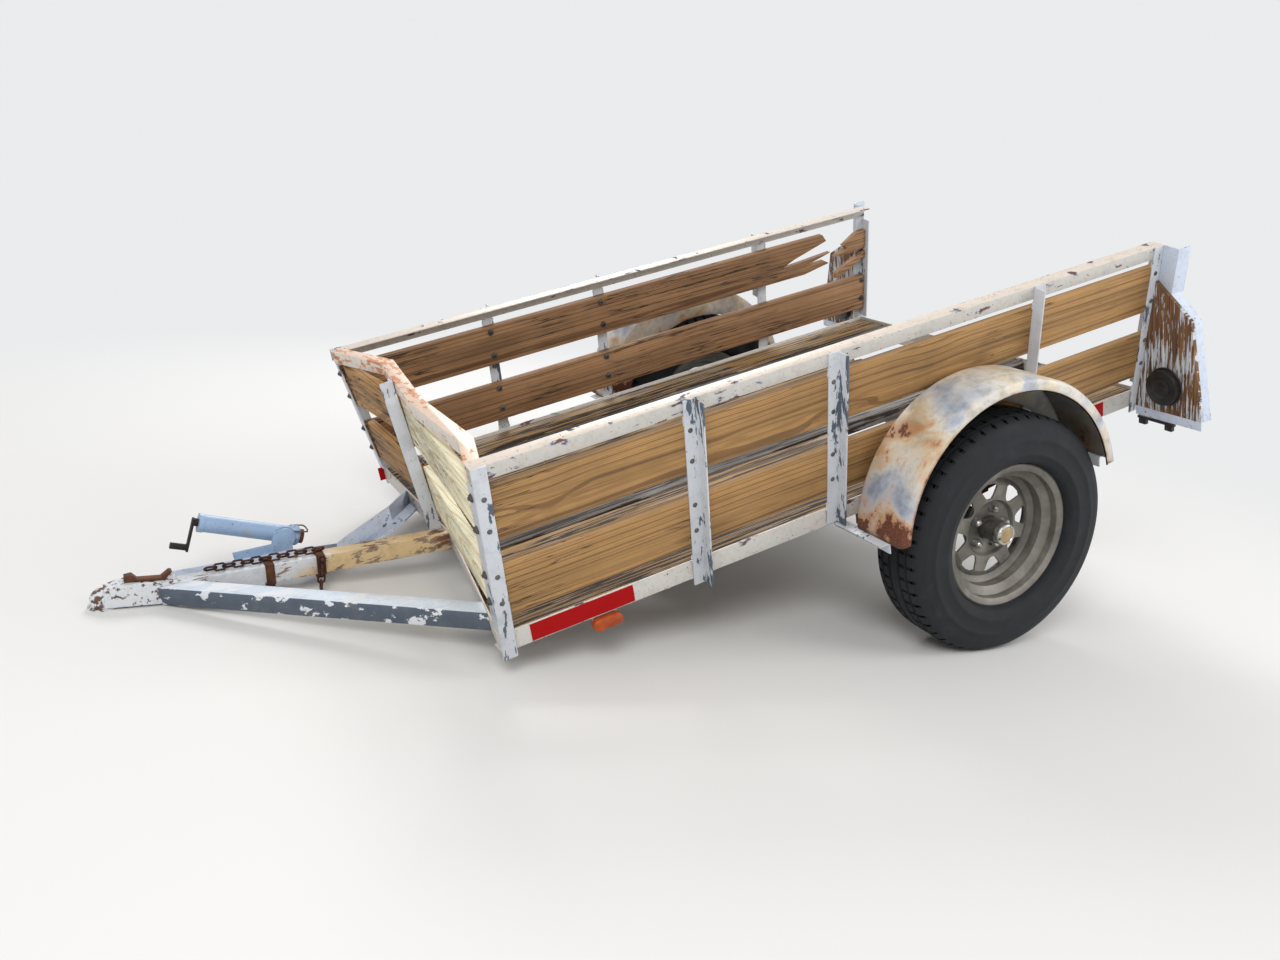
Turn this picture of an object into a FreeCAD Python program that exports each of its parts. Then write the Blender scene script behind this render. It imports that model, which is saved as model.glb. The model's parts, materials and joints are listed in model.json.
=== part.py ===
"""Small open utility trailer with slatted sides racked to the left, nose-down on its coupler.

Trailer frame, in millimetres: X runs rearward from the front of the box, Y to the trailer's right,
Z up from the underside of the bottom rails. The finished pieces are then pitched so that the
coupler and both tyres stand on the ground, with the origin on the ground under the middle.
"""
import FreeCAD, Part
import math
import os
import Sketcher
from FreeCAD import Placement, Rotation, Vector

# Driving sizes: name, value, meaning
SIZES = [
    ("bed_length", 2134, "front to rear of the box, 7 ft"),
    ("bed_width", 1372, "across the bottom rails, 4.5 ft"),
    ("bed_height", 508, "bottom of rails to top of sides, 20 in"),
    ("rack", 80, "how far the racked box's top leans to the left"),
    ("rail_leg", 51, "bottom rail angle, leg"),
    ("rail_wall", 5, "bottom rail angle, thickness"),
    ("top_leg", 38, "top rail angle, leg"),
    ("top_wall", 4, "top rail angle, thickness"),
    ("stake_width", 38, "stake and corner angle, leg"),
    ("stake_wall", 5, "stake and corner angle, thickness"),
    ("stake_foot", 20, "how far a stake reaches below the rail"),
    ("stake_one", 520, "front edge of the first stake"),
    ("stake_two", 942, "front edge of the second stake"),
    ("stake_three", 1633, "front edge of the third stake"),
    ("board_width", 140, "side board"),
    ("board_thick", 25, "side board"),
    ("lower_board", 100, "bottom edge of the lower boards, up the side"),
    ("upper_board", 313, "bottom edge of the upper boards, up the side"),
    ("break_length", 410, "from the rear end to where the right upper board is split through"),
    ("stub_length", 155, "piece of the split board left at the rear post"),
    ("deck_edge", 11, "deck's edge inside the bottom rails' outer faces"),
    ("plank_thick", 38, "deck plank"),
    ("plank_gap", 11, "gap between deck planks"),
    ("left_ahead", 16, "how far the left front corner is pulled ahead"),
    ("push_back", 84, "how far the right half of the front bottom rail is pushed back"),
    ("push_left", 40, "where the pushed half begins, left of the middle"),
    ("top_bow", 28, "how far the left half of the front top rail is pushed back"),
    ("top_dent", 80, "how far the front top rail is pushed back at its kink"),
    ("kink_out", 285, "top rail's kink, right of the middle"),
    ("post_out", 90, "middle post's head, right of the middle"),
    ("seat", 0.3, "clearance between pieces that rest on each other"),
    ("ball_ahead", 830, "ball socket centre ahead of the box"),
    ("ball_rise", 183.5, "ball socket centre above the rails' underside"),
    ("ball_lip", 22, "ball socket centre above the coupler's lower rim"),
    ("ball_radius", 25.9, "bore of the ball socket, for a 2 in ball"),
    ("coupler_wall", 3.5, "pressed steel of the coupler"),
    ("coupler_tail", 180, "coupler behind the ball centre"),
    ("tongue_width", 51, "square tongue tube"),
    ("tongue_wall", 4, "square tongue tube"),
    ("tongue_start", 60, "tongue tube's front end behind the ball centre"),
    ("tongue_bend", 185, "tongue tube's bend behind the ball centre"),
    ("brace_inset", 116, "left brace's outer rear corner inside the bottom rail's face"),
    ("brace_drop", 7, "right brace's middle below the tongue's"),
    ("crease_back", 330, "right brace's first crease, ahead of the box"),
    ("elbow_back", 205, "right brace's elbow, ahead of the box"),
    ("elbow_out", 185, "right brace's elbow, right of the middle"),
    ("elbow_top", 45, "right brace's elbow, height of its top"),
    ("knee_back", 10, "right brace's last crease, ahead of the box"),
    ("knee_out", 290, "right brace's last crease, right of the middle"),
    ("knee_top", 62, "right brace's last crease, height of its top"),
    ("brace_end", 410, "right brace's rear end, right of the middle"),
    ("clamp_width", 24, "chain clamp round the tongue"),
    ("clamp_wall", 3, "chain clamp round the tongue"),
    ("pin_drop", 5, "rear clamp's pin below the strap's top"),
    ("clamp_front", 420, "front chain clamp, ahead of the box"),
    ("clamp_rear", 285, "rear chain clamp, ahead of the box"),
    ("link_length", 36, "safety chain link, outside"),
    ("link_width", 24, "safety chain link, outside"),
    ("link_wire", 6, "safety chain link, thickness"),
    ("jack_back", 347, "jack pivot ahead of the box"),
    ("jack_rise", 152, "jack pivot above the rails' underside"),
    ("jack_tilt", 28, "stowed jack's slope against the bed, degrees"),
    ("jack_radius", 24.5, "jack outer tube"),
    ("jack_wall", 3.5, "jack outer tube"),
    ("jack_tail", 45, "jack tube behind its pivot"),
    ("jack_head", 225, "jack tube ahead of its pivot"),
    ("jack_stub", 16, "radius of the jack's pivot stub"),
    ("jack_ring", 10, "thickness of the jack's swivel ring"),
    ("ring_radius", 31, "the jack's swivel ring, outside"),
    ("jack_plate", 6, "jack's mounting plate, and its gap to the ring"),
    ("jack_foot", 145, "front end of the jack's plate ahead of its pivot"),
    ("leg_tuck", 12, "jack leg's foot behind its tube when wound in"),
    ("leg_top", 42, "top of the jack leg below the top of its tube"),
    ("crank_arm", 75, "jack crank, centre to centre"),
    ("axle_ahead", 734, "axle centre ahead of the rear end of the box"),
    ("axle_drop", 125, "axle centre below the rails' underside"),
    ("axle_width", 51, "square axle tube"),
    ("axle_over", 44, "axle tube's end outside the bottom rail"),
    ("spindle_radius", 15, "wheel spindle"),
    ("tyre_radius", 344, "205/75-15 tyre"),
    ("tyre_width", 198, "205/75-15 tyre on a 5 in rim"),
    ("rim_radius", 208, "rim flange, 15 in wheel"),
    ("bead_radius", 190.5, "bead seat, 15 in wheel"),
    ("rim_width", 140, "over the rim flanges"),
    ("wheel_out", 130, "tyre's middle plane outside the bottom rail"),
    ("disc_inset", 80, "wheel disc behind the outer flange"),
    ("eye_inset", 60, "spring eyes inside the rear end of the fender"),
    ("spring_width", 45, "leaf spring"),
    ("leaf_thick", 7, "spring leaf"),
    ("eye_drop", 45, "spring eyes below the rails' underside"),
    ("fender_gap", 41, "outside of the fender above the tyre"),
    ("fender_width", 190, "fender"),
    ("outrigger_short", 52, "outrigger's end inside the fender's outer face"),
    ("fender_inner", 60, "fender's inner edge outside the bottom rail"),
    ("fender_wall", 2.5, "fender sheet"),
    ("fender_skirt", 32, "depth of the fender's outer skirt"),
    ("wall_gap", 9, "fender's inner wall outside the tread"),
    ("fender_ahead", 25, "fender centre ahead of the axle"),
    ("fender_up", 80, "fender centre above the axle"),
    ("wing_reach", 233, "tail board's lower edge, outward from the rail"),
    ("wing_taper", 93, "how far the tail board's outer edge slopes in"),
    ("wing_rise", 403, "tail board's inner edge, height"),
    ("wing_drop", 299, "tail board's outer edge, height"),
    ("wing_leg", 28, "tail board's angle frame"),
    ("wing_wall", 3, "tail board's angle frame"),
    ("lamp_post", 51, "angle post above the tail board, leg"),
    ("panel_thick", 12, "plywood of the tail board"),
    ("lamp_radius", 54, "round tail lamp"),
    ("lamp_depth", 34, "round tail lamp"),
    ("lamp_out", 95, "tail lamp centre outside the leaning side"),
    ("lamp_rise", 85, "tail lamp centre above the rails' underside"),
    ("marker_back", 224, "side marker behind the front of the box"),
    ("marker_length", 82, "amber side marker"),
    ("marker_radius", 16, "rounded ends of the side marker"),
    ("marker_depth", 22, "side marker"),
    ("marker_inset", 12, "side marker's back inside the rail's face"),
]

CROSSMEMBER_SHARES = (0.22, 0.45, 0.74)
PLANKS = 9
TOP_LINKS = 13
HANGING_LINKS = 4

doc = FreeCAD.newDocument("utility_trailer")
sheet = doc.addObject("Spreadsheet::Sheet", "sizes")
for row, (word, value, meaning) in enumerate(SIZES, 1):
    sheet.set("A%d" % row, meaning)
    sheet.set("B%d" % row, str(value))
    sheet.setAlias("B%d" % row, word)
doc.recompute()


class Size:
    """A length with the sheet formula that it comes from."""

    def __init__(self, value, formula):
        self.value = float(value)
        self.formula = formula

    def __float__(self):
        return self.value

    def __add__(self, other):
        return Size(self.value + float(other), "(%s + %s)" % (self.formula, formula(other)))

    def __radd__(self, other):
        return Size(float(other) + self.value, "(%s + %s)" % (formula(other), self.formula))

    def __sub__(self, other):
        return Size(self.value - float(other), "(%s - %s)" % (self.formula, formula(other)))

    def __rsub__(self, other):
        return Size(float(other) - self.value, "(%s - %s)" % (formula(other), self.formula))

    def __mul__(self, other):
        return Size(self.value * float(other), "(%s * %s)" % (self.formula, formula(other)))

    def __rmul__(self, other):
        return self * other

    def __truediv__(self, other):
        return Size(self.value / float(other), "(%s / %s)" % (self.formula, formula(other)))

    def __neg__(self):
        return Size(-self.value, "(0 - %s)" % self.formula)


def formula(number):
    """The sheet formula of a size or the text of a plain number."""
    return number.formula if isinstance(number, Size) else repr(float(number))


class Sizes:
    """Named access to the sheet: D.bed_length and so on."""

    def __getattr__(self, word):
        return Size(sheet.get(word), "sizes.%s" % word)


D = Sizes()
PIECES = []


def bind(thing, prop, number):
    """Set a property and tie it to the sheet."""
    if isinstance(number, Size):
        thing.setExpression(prop, number.formula)
    else:
        setattr(thing, prop, float(number))


def body(name, apart=False):
    """An empty sub-part, which may hold like pieces that stand apart."""
    piece = doc.addObject("PartDesign::Body", name)
    piece.Label = name
    piece.AllowCompound = apart
    return piece


def pin_corner(drawing, line, along, number):
    """Hold one coordinate of a line's first point at a size from the origin."""
    value = float(number)
    axis_line = -2 if along == "DistanceX" else -1
    if abs(value) < 1e-9:
        drawing.addConstraint(Sketcher.Constraint("PointOnObject", line, 1, axis_line))
        return
    if value > 0:
        held = Sketcher.Constraint(along, -1, 1, line, 1, value)
    else:
        held = Sketcher.Constraint(along, line, 1, -1, 1, -value)
    index = drawing.addConstraint(held)
    if isinstance(number, Size):
        signed = number if value > 0 else -number
        drawing.setExpression("Constraints[%d]" % index, signed.formula)


def outline(piece, plane, corners, lift=0.0):
    """A closed sketch of straight lines on one of the body's own planes, tied to the sheet."""
    drawing = piece.newObject("Sketcher::SketchObject", piece.Name + "_outline")
    flat = [item for item in piece.Origin.OriginFeatures if item.Role == plane][0]
    drawing.AttachmentSupport = [(flat, "")]
    drawing.MapMode = "FlatFace"
    bind_offset(drawing, lift)
    points = [Vector(float(a), float(b), 0) for a, b in corners]
    count = len(points)
    for index, point in enumerate(points):
        drawing.addGeometry(Part.LineSegment(point, points[(index + 1) % count]), False)
    for index in range(count):
        drawing.addConstraint(Sketcher.Constraint("Coincident", index, 2, (index + 1) % count, 1))
    for index, (a, b) in enumerate(corners):
        pin_corner(drawing, index, "DistanceX", a)
        pin_corner(drawing, index, "DistanceY", b)
    return drawing


def bind_offset(drawing, lift):
    """Lift a sketch off its plane."""
    if isinstance(lift, Size):
        drawing.setExpression("AttachmentOffset.Base.z", lift.formula)
    elif lift:
        drawing.AttachmentOffset = Placement(Vector(0, 0, lift), Rotation())


def pad(piece, drawing, length):
    """Extrude a sketch along its normal."""
    feature = piece.newObject("PartDesign::Pad", piece.Name + "_pad")
    feature.Profile = drawing
    bind(feature, "Length", length)
    drawing.Visibility = False
    return feature


def block(piece, low, high):
    """A rectangular block in the body's own frame, between two corners."""
    corners = [(low[0], low[1]), (high[0], low[1]), (high[0], high[1]), (low[0], high[1])]
    drawing = outline(piece, "XY_Plane", corners, low[2])
    return pad(piece, drawing, high[2] - low[2])


def turn(piece, corners, angle=360.0):
    """Revolve an outline given as (radius, along the axis) about the body's Z axis."""
    drawing = outline(piece, "XZ_Plane", corners)
    feature = piece.newObject("PartDesign::Revolution", piece.Name + "_turn")
    feature.Profile = drawing
    feature.ReferenceAxis = (drawing, ["V_Axis"])
    feature.Angle = angle
    return feature


def axes(origin, first, third):
    """A placement whose local X is first and whose local Z is third."""
    z = Vector(third).normalize()
    x = Vector(first) - z * Vector(first).dot(z)
    x.normalize()
    y = z.cross(x)
    matrix = FreeCAD.Matrix(x.x, y.x, z.x, origin[0], x.y, y.y, z.y, origin[1],
                            x.z, y.z, z.z, origin[2], 0, 0, 0, 1)
    return Placement(matrix)


def finish(piece, place=None):
    """Keep a sub-part and note where it stands in the trailer frame."""
    PIECES.append((piece, place or Placement()))
    return piece


def shaped(name, shape, place=None):
    """A sub-part whose form is made with Part's own functions."""
    piece = doc.addObject("Part::Feature", name)
    piece.Label = name
    piece.Shape = shape
    return finish(piece, (place or Placement()).multiply(shape.Placement))


# Worked-out places, as plain numbers in the trailer frame
half_width = float(D.bed_width) / 2
rack = float(D.rack)
height = float(D.bed_height)
side_length = math.hypot(height, rack)
lean = math.atan2(rack, height)
push = float(D.push_back)
ahead = float(D.left_ahead)
axle = Vector(float(D.bed_length) - float(D.axle_ahead), 0, -float(D.axle_drop))
ball = Vector(-float(D.ball_ahead), 0, float(D.ball_rise))
reach = axle - ball
pitch = (math.asin((float(D.tyre_radius) - float(D.ball_lip)) / reach.Length)
         - math.atan2(reach.z, reach.x))
level_back = Vector(math.cos(pitch), 0, -math.sin(pitch))
level_up = Vector(math.sin(pitch), 0, math.cos(pitch))
SIDES = (("left", -1), ("right", 1))


def side_place(side):
    """Side plane: local X rearward, Y up the leaning side, Z to the left.

    The left side leans out from its rail's lower edge, the right side leans in over its rail's top edge.
    """
    foot = half_width + (float(D.rail_leg) * math.tan(lean) if side > 0 else 0)
    up = Vector(0, -math.sin(lean), math.cos(lean))
    return axes((0, side * foot, 0), (1, 0, 0), Vector(1, 0, 0).cross(up))


def side_span(side, inner, outer):
    """Depths measured outward from the side plane, as low and high local Z."""
    return (inner, outer) if side < 0 else (-outer, -inner)


def side_block(piece, side, back, up, out):
    """A block on a leaning side: (from, to) rearward, up the side and outward."""
    low, high = side_span(side, out[0], out[1])
    return block(piece, (back[0], up[0], low), (back[1], up[1], high))


def angle_section(piece, leg, wall, length):
    """An angle bar along local Z, with its outer corner on the axis and its legs along X and Y."""
    corners = [(0, 0), (leg, 0), (leg, wall), (wall, wall), (wall, leg), (0, leg)]
    return pad(piece, outline(piece, "XY_Plane", corners), length)


def angle_profile(corner, first, second, leg, wall):
    """The wire of an angle section at a point, with legs along two directions."""
    steps = [(0, 0), (leg, 0), (leg, wall), (wall, wall), (wall, leg), (0, leg), (0, 0)]
    return Part.makePolygon([corner + first * a + second * b for a, b in steps])


def swept(path, profile, up):
    """A bar of constant section along straight runs with mitred corners."""
    shell = Part.BRepOffsetAPI.MakePipeShell(Part.makePolygon(path))
    shell.setBiNormalMode(up)
    shell.setTransitionMode(1)
    shell.add(profile)
    shell.build()
    shell.makeSolid()
    return Part.Solid(shell.shape()) if shell.shape().ShapeType == "Shell" else shell.shape()


def creased_angle(points, leg, wall):
    """An angle bar folded at each point on its upper edge, its flat leg inward at the bottom."""
    bar = None
    last = len(points) - 2
    for index in range(last + 1):
        near, far = points[index], points[index + 1]
        along = (far - near).normalize()
        inner = Vector(0, 0, 1).cross(along).normalize()
        inner = inner if inner.y < 0 else inner * -1
        rise = along.cross(inner).normalize()
        rise = rise if rise.z > 0 else rise * -1
        start = near - along * (2 * leg) - rise * leg
        profile = Part.Face(angle_profile(start, inner, rise, leg, wall))
        run = profile.extrude(along * ((far - near).Length + 4 * leg))
        before = (near - points[index - 1]).normalize() if index else along
        after = (points[index + 2] - far).normalize() if index < last else along
        run = run.cut(half_space(near, (before + along).normalize() * -1))
        run = run.cut(half_space(far, (along + after).normalize()))
        bar = run if bar is None else bar.fuse(run)
    return bar


def half_space(point, outward, size=4000.0):
    """A big block on the side of a plane that its outward direction points to."""
    place = axes(point, outward.cross(Vector(0.3, 0.5, 0.8)), outward)
    slab = Part.makeBox(size, size, size, Vector(-size / 2, -size / 2, 0))
    slab.Placement = place
    return slab


def make_bottom_frame():
    """Bottom rails and crossmembers of angle iron; the right rail starts at the pushed-back corner."""
    for word, side in SIDES:
        rail = body("%s_bottom_rail" % word)
        length = D.bed_length + D.left_ahead if side < 0 else D.bed_length - D.push_back
        angle_section(rail, D.rail_leg, D.rail_wall, length)
        start = push if side > 0 else float(D.bed_length)
        finish(rail, axes((start, side * half_width, 0), (0, 0, 1), (side, 0, 0)))
    inner = D.bed_width - D.rail_leg * 2
    cross = body("crossmembers", apart=True)
    for share in CROSSMEMBER_SHARES:
        back = D.bed_length * share
        corners = [(back, 0), (back + D.top_leg, 0), (back + D.top_leg, D.rail_wall),
                   (back + D.rail_wall, D.rail_wall), (back + D.rail_wall, D.top_leg), (back, D.top_leg)]
        pad(cross, outline(cross, "XY_Plane", corners), inner)
    finish(cross, axes((0, -float(inner) / 2, float(D.rail_wall)), (1, 0, 0), (0, 1, 0)))
    rear = body("rear_rail")
    end = D.bed_length
    wide = inner / 2
    full = D.bed_width / 2 - D.rail_wall
    block(rear, (end - D.rail_leg, -wide, 0), (end, wide, D.rail_wall))
    block(rear, (end - D.rail_wall, -full, D.rail_wall), (end, full, D.rail_leg))
    finish(rear)


def pushed_path():
    """The front bottom rail's outer face line: left corner, bend, right corner."""
    return [Vector(-ahead, -half_width, 0), Vector(push, -float(D.push_left), 0), Vector(push, half_width, 0)]


def top_rail_line():
    """The front top rail's outer face line between the side rails."""
    gap = float(D.top_leg) + 4 * float(D.seat)
    right = half_width + float(D.rail_leg) * math.tan(lean) - rack - gap
    bow = float(D.top_bow)
    return [Vector(-ahead, gap - half_width - rack, height), Vector(bow, -0.82 * half_width, height),
            Vector(bow, -0.25 * half_width, height), Vector(float(D.top_dent), float(D.kink_out), height),
            Vector(0, right, height)]


def make_front_rails():
    """Front bottom rail pushed back by the tongue, and front top rail pulled with it."""
    leg = float(D.rail_leg)
    wall = float(D.rail_wall)
    seat = float(D.seat)
    path = pushed_path()
    along = (path[1] - path[0]).normalize()
    inward = Vector(0, 0, 1).cross(along) * -1
    profile = angle_profile(path[0], inward, Vector(0, 0, 1), leg, wall)
    rail = swept(path, profile, Vector(0, 0, 1))
    ledge = half_width - leg - seat
    upright = half_width - wall - seat
    for side in (-1, 1):
        rail = rail.cut(half_space(Vector(0, side * upright, 0), Vector(0, side, 0)))
        notch = Part.makeBox(push + 4 * leg, leg, wall + 2 * seat,
                             Vector(-leg, min(side * ledge, side * (ledge + leg)), -seat))
        rail = rail.cut(notch)
    shaped("front_bottom_rail", rail.Solids[0])
    path = top_rail_line()
    along = (path[1] - path[0]).normalize()
    inward = Vector(0, 0, 1).cross(along) * -1
    profile = angle_profile(path[0], inward, Vector(0, 0, -1), float(D.top_leg), float(D.top_wall))
    shaped("front_top_rail", swept(path, profile, Vector(0, 0, 1)))


SIDE_LENGTH = "sqrt(sizes.bed_height ^ 2 + sizes.rack ^ 2)"


def pushed(side, up):
    """How far the front end of a side is pushed back at a height up the side; the left one is ahead."""
    if side < 0:
        return -D.left_ahead
    length = Size(side_length, SIDE_LENGTH)
    return D.push_back * ((length - up) / length)


def leaning_strip(piece, side, width, up, out):
    """A strip up the front end of a side, which leans forward over the pushed corner."""
    low, high = side_span(side, out[0], out[1])
    feet = pushed(side, up[0])
    heads = pushed(side, up[1])
    corners = [(feet, up[0]), (feet + width, up[0]), (heads + width, up[1]), (heads, up[1])]
    drawing = outline(piece, "XY_Plane", corners, low)
    return pad(piece, drawing, high - low)


def above_fender():
    """Height up the side at which the third stake's outer leg clears the fender."""
    offset = float(D.stake_three) - axle.x + float(D.fender_ahead)
    radius = float(D.tyre_radius) + float(D.fender_gap)
    crown = axle.z + float(D.fender_up) + math.sqrt(radius ** 2 - offset ** 2)
    return (crown + float(D.stake_width) / 2) / math.cos(lean)


def make_sides():
    """Top rails, stakes and corner posts of the two leaning sides.

    The stakes are angles with one leg outward; the second stands on the fender's front outrigger.
    """
    up_end = Size(side_length, SIDE_LENGTH)
    foot = -D.stake_foot
    low = D.rail_leg + 12
    high = up_end - D.top_leg - 12
    wall = D.stake_wall
    width = D.stake_width
    end = D.bed_length
    for word, side in SIDES:
        place = side_place(side)
        rail = body("%s_top_rail" % word)
        front = pushed(side, up_end)
        side_block(rail, side, (front, end), (up_end - D.top_leg, up_end), (-D.top_wall, 0))
        side_block(rail, side, (front, end), (up_end - D.top_wall, up_end), (-D.top_leg, -D.top_wall))
        finish(rail, place)
        uprights = body("%s_uprights" % word, apart=True)
        leaning_strip(uprights, side, width, (foot, up_end), (0, wall))
        leaning_strip(uprights, side, wall, (low, high), (-width, 0))
        rest = wall + 2
        for back, low_end, out_from, out_low in ((D.stake_one, foot, width - wall, foot),
                                                 (D.stake_two, rest, width - wall, rest),
                                                 (D.stake_three, foot, wall * 0, above_fender())):
            side_block(uprights, side, (back, back + width), (low_end, up_end), (0, wall))
            side_block(uprights, side, (back + out_from, back + out_from + wall),
                       (out_low, up_end - D.top_wall), (wall, width))
        side_block(uprights, side, (end - width, end), (foot, up_end), (0, wall))
        side_block(uprights, side, (end - wall, end), (low, high), (-width, 0))
        finish(uprights, place)


def board_corners(side, low, start, end):
    """A side board's outline, its front end following the corner post."""
    high = low + D.board_width
    return [(start + pushed(side, low), low), (end, low), (end, high), (start + pushed(side, high), high)]


def make_side_boards():
    """Two boards inside each side; the right upper one is broken, with its stub at the rear post."""
    start = D.stake_wall + 2
    end = D.bed_length - D.stake_wall - 2
    for word, side in SIDES:
        thick = side_span(side, -D.board_thick, 0)
        lower = body("%s_lower_board" % word)
        pad(lower, outline(lower, "XY_Plane", board_corners(side, D.lower_board, start, end), thick[0]),
            D.board_thick)
        finish(lower, side_place(side))
    low = D.upper_board
    thick = side_span(-1, -D.board_thick, 0)
    left = body("left_upper_board")
    pad(left, outline(left, "XY_Plane", board_corners(-1, low, start, end), thick[0]), D.board_thick)
    finish(left, side_place(-1))
    wide = D.board_width
    at = D.bed_length - D.break_length
    front = board_corners(1, low, start, end)
    split = [(at + 110, low), (at + 228, low + wide * 0.14), (at + 205, low + wide * 0.24),
             (at + 95, low + wide * 0.21), (at + 236, low + wide * 0.44), (at, low + wide * 0.33),
             (at + 60, low + wide * 0.51), (at + 214, low + wide * 0.80), (at + 196, low + wide)]
    thick = side_span(1, -D.board_thick, 0)
    right = body("right_upper_board")
    pad(right, outline(right, "XY_Plane", [front[0]] + split + [front[3]], thick[0]), D.board_thick)
    finish(right, side_place(1))
    tip = D.bed_length - D.stub_length
    stub = [(end, low + wide * 0.32), (end, low + wide * 0.82), (end - 42, low + wide * 0.79),
            (end - 107, low + wide * 0.51), (end - 87, low + wide * 0.42), (tip, low + wide * 0.26),
            (tip + 80, low + wide * 0.25)]
    sliver = [(end, low + wide * 0.04), (end, low + wide * 0.22), (tip + 12, low - wide * 0.23),
              (tip, low - wide * 0.36), (tip + 26, low - wide * 0.38)]
    piece = body("right_board_stub", apart=True)
    for corners in (stub, sliver):
        pad(piece, outline(piece, "XY_Plane", corners, thick[0]), D.board_thick)
    finish(piece, side_place(1))


def front_post_line():
    """The front middle post's rear face: its foot on the pushed rail and its head on the top rail."""
    seat = float(D.seat)
    foot = Vector(push - seat, (float(D.tongue_width) + float(D.stake_width)) / 2 + 1, 0)
    straight, kink = top_rail_line()[2:4]
    out = float(D.post_out)
    share = (out - straight.y) / (kink.y - straight.y)
    slant = (kink.x - straight.x) / (kink.y - straight.y) * float(D.stake_width) / 2
    behind = straight.x + (kink.x - straight.x) * share
    return foot, Vector(behind - slant - seat - 3, out, height)


def make_front_wall():
    """Middle post of angle iron leaning with the dent, and two boards in halves behind it."""
    foot, head = front_post_line()
    rise = (head - foot).normalize()
    sideways = Vector(0, 1, 0) - rise * rise.y
    post = body("front_middle_post")
    wide = D.stake_width
    long = (head - foot).Length
    block(post, (-wide / 2, 0, 0), (wide / 2, D.stake_wall, long))
    block(post, (-wide / 2, D.stake_wall, 0), (D.stake_wall - wide / 2, wide, long))
    finish(post, axes(foot, sideways, rise))
    thick = float(D.board_thick)
    half = float(D.board_width) / 2
    post_slope = (head.x - foot.x) / height
    for level, low in (("lower", float(D.lower_board)), ("upper", float(D.upper_board))):
        middle = low + half
        behind = foot + (head - foot) * (middle / height)
        for word, side in SIDES:
            corner_slope = -push / height if side > 0 else 0.0
            slope = (corner_slope + post_slope) / 2
            twist = abs(slope - post_slope) * half + 3 * float(D.seat)
            plane = side * half_width - rack * (low + (2 * half if side > 0 else 0)) / height
            front = push * (1 - middle / height) if side > 0 else -ahead
            corner = Vector(front + float(D.stake_wall) + twist, plane - side * (thick + 3), middle)
            skew = abs((behind.x - corner.x) / (behind.y - corner.y)) * float(wide) / 2
            run = Vector(behind.x + twist + skew, behind.y, middle) - corner
            board = body("%s_front_%s_board" % (word, level))
            reach_in = run.Length - (6 if side < 0 else 14)
            block(board, (0, 0, -D.board_width / 2), (reach_in, D.board_thick, D.board_width / 2))
            turned = axes(corner, run, Vector(slope, 0, 1))
            if side < 0:
                turned = turned.multiply(Placement(Vector(0, -thick, 0), Rotation()))
            finish(board, turned)


def make_deck():
    """Lengthwise planks on the rails, some of them split."""
    low = D.rail_wall
    end = D.bed_length - D.rail_wall - 2
    inner = D.bed_width - D.deck_edge * 2
    width = (inner - D.plank_gap * (PLANKS - 1)) / PLANKS
    step = width + D.plank_gap
    first = -inner / 2
    sound = body("deck_planks", apart=True)
    split = body("broken_planks", apart=True)
    for index in range(PLANKS):
        near = first + step * index
        far = near + width
        share = (far + D.bed_width / 2) / (D.bed_width / 2 - D.push_left)
        bent = (D.push_back + D.left_ahead) * share - D.left_ahead
        start = D.rail_wall * 2 + (bent if float(share) < 1 else D.push_back)
        corners = [(start, near), (end, near), (end, far), (start, far)]
        plank = sound
        if index in (2, 6):
            last = D.bed_length * (0.62 if index == 2 else 0.86)
            corners = [(start, near), (last - 90, near), (last - 20, near + width * 0.25),
                       (last - 120, near + width * 0.45), (last, near + width * 0.8), (last - 40, far),
                       (start, far)]
            plank = split
        if index == 4:
            back = D.bed_length * 0.31
            corners = [(back + 40, near), (end, near), (end, far), (back + 110, far),
                       (back, near + width * 0.7), (back + 90, near + width * 0.4)]
            plank = split
        pad(plank, outline(plank, "XY_Plane", corners, low), D.plank_thick)
    finish(sound)
    finish(split)


def square_tube(path, width, wall, up):
    """A square tube along straight runs with mitred corners."""
    along = (path[1] - path[0]).normalize()
    across = up.cross(along).normalize()
    rise = along.cross(across)
    solids = []
    for size in (width, width - 2 * wall):
        corners = [(-1, -1), (1, -1), (1, 1), (-1, 1), (-1, -1)]
        wire = Part.makePolygon([path[0] + across * (a * size / 2) + rise * (b * size / 2)
                                 for a, b in corners])
        solids.append(swept(path, wire, across))
    return solids[0].cut(solids[1])


def tongue_points():
    """Tongue tube's centre line: front end in the coupler, bend, and a point past the front rail."""
    width = float(D.tongue_width)
    above = width / 2 + 10 - float(D.ball_lip)
    front = ball + level_back * float(D.tongue_start) + level_up * above
    bend = ball + level_back * float(D.tongue_bend) + level_up * above
    rear = Vector(push, 0, width / 2)
    return front, bend, rear


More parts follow.
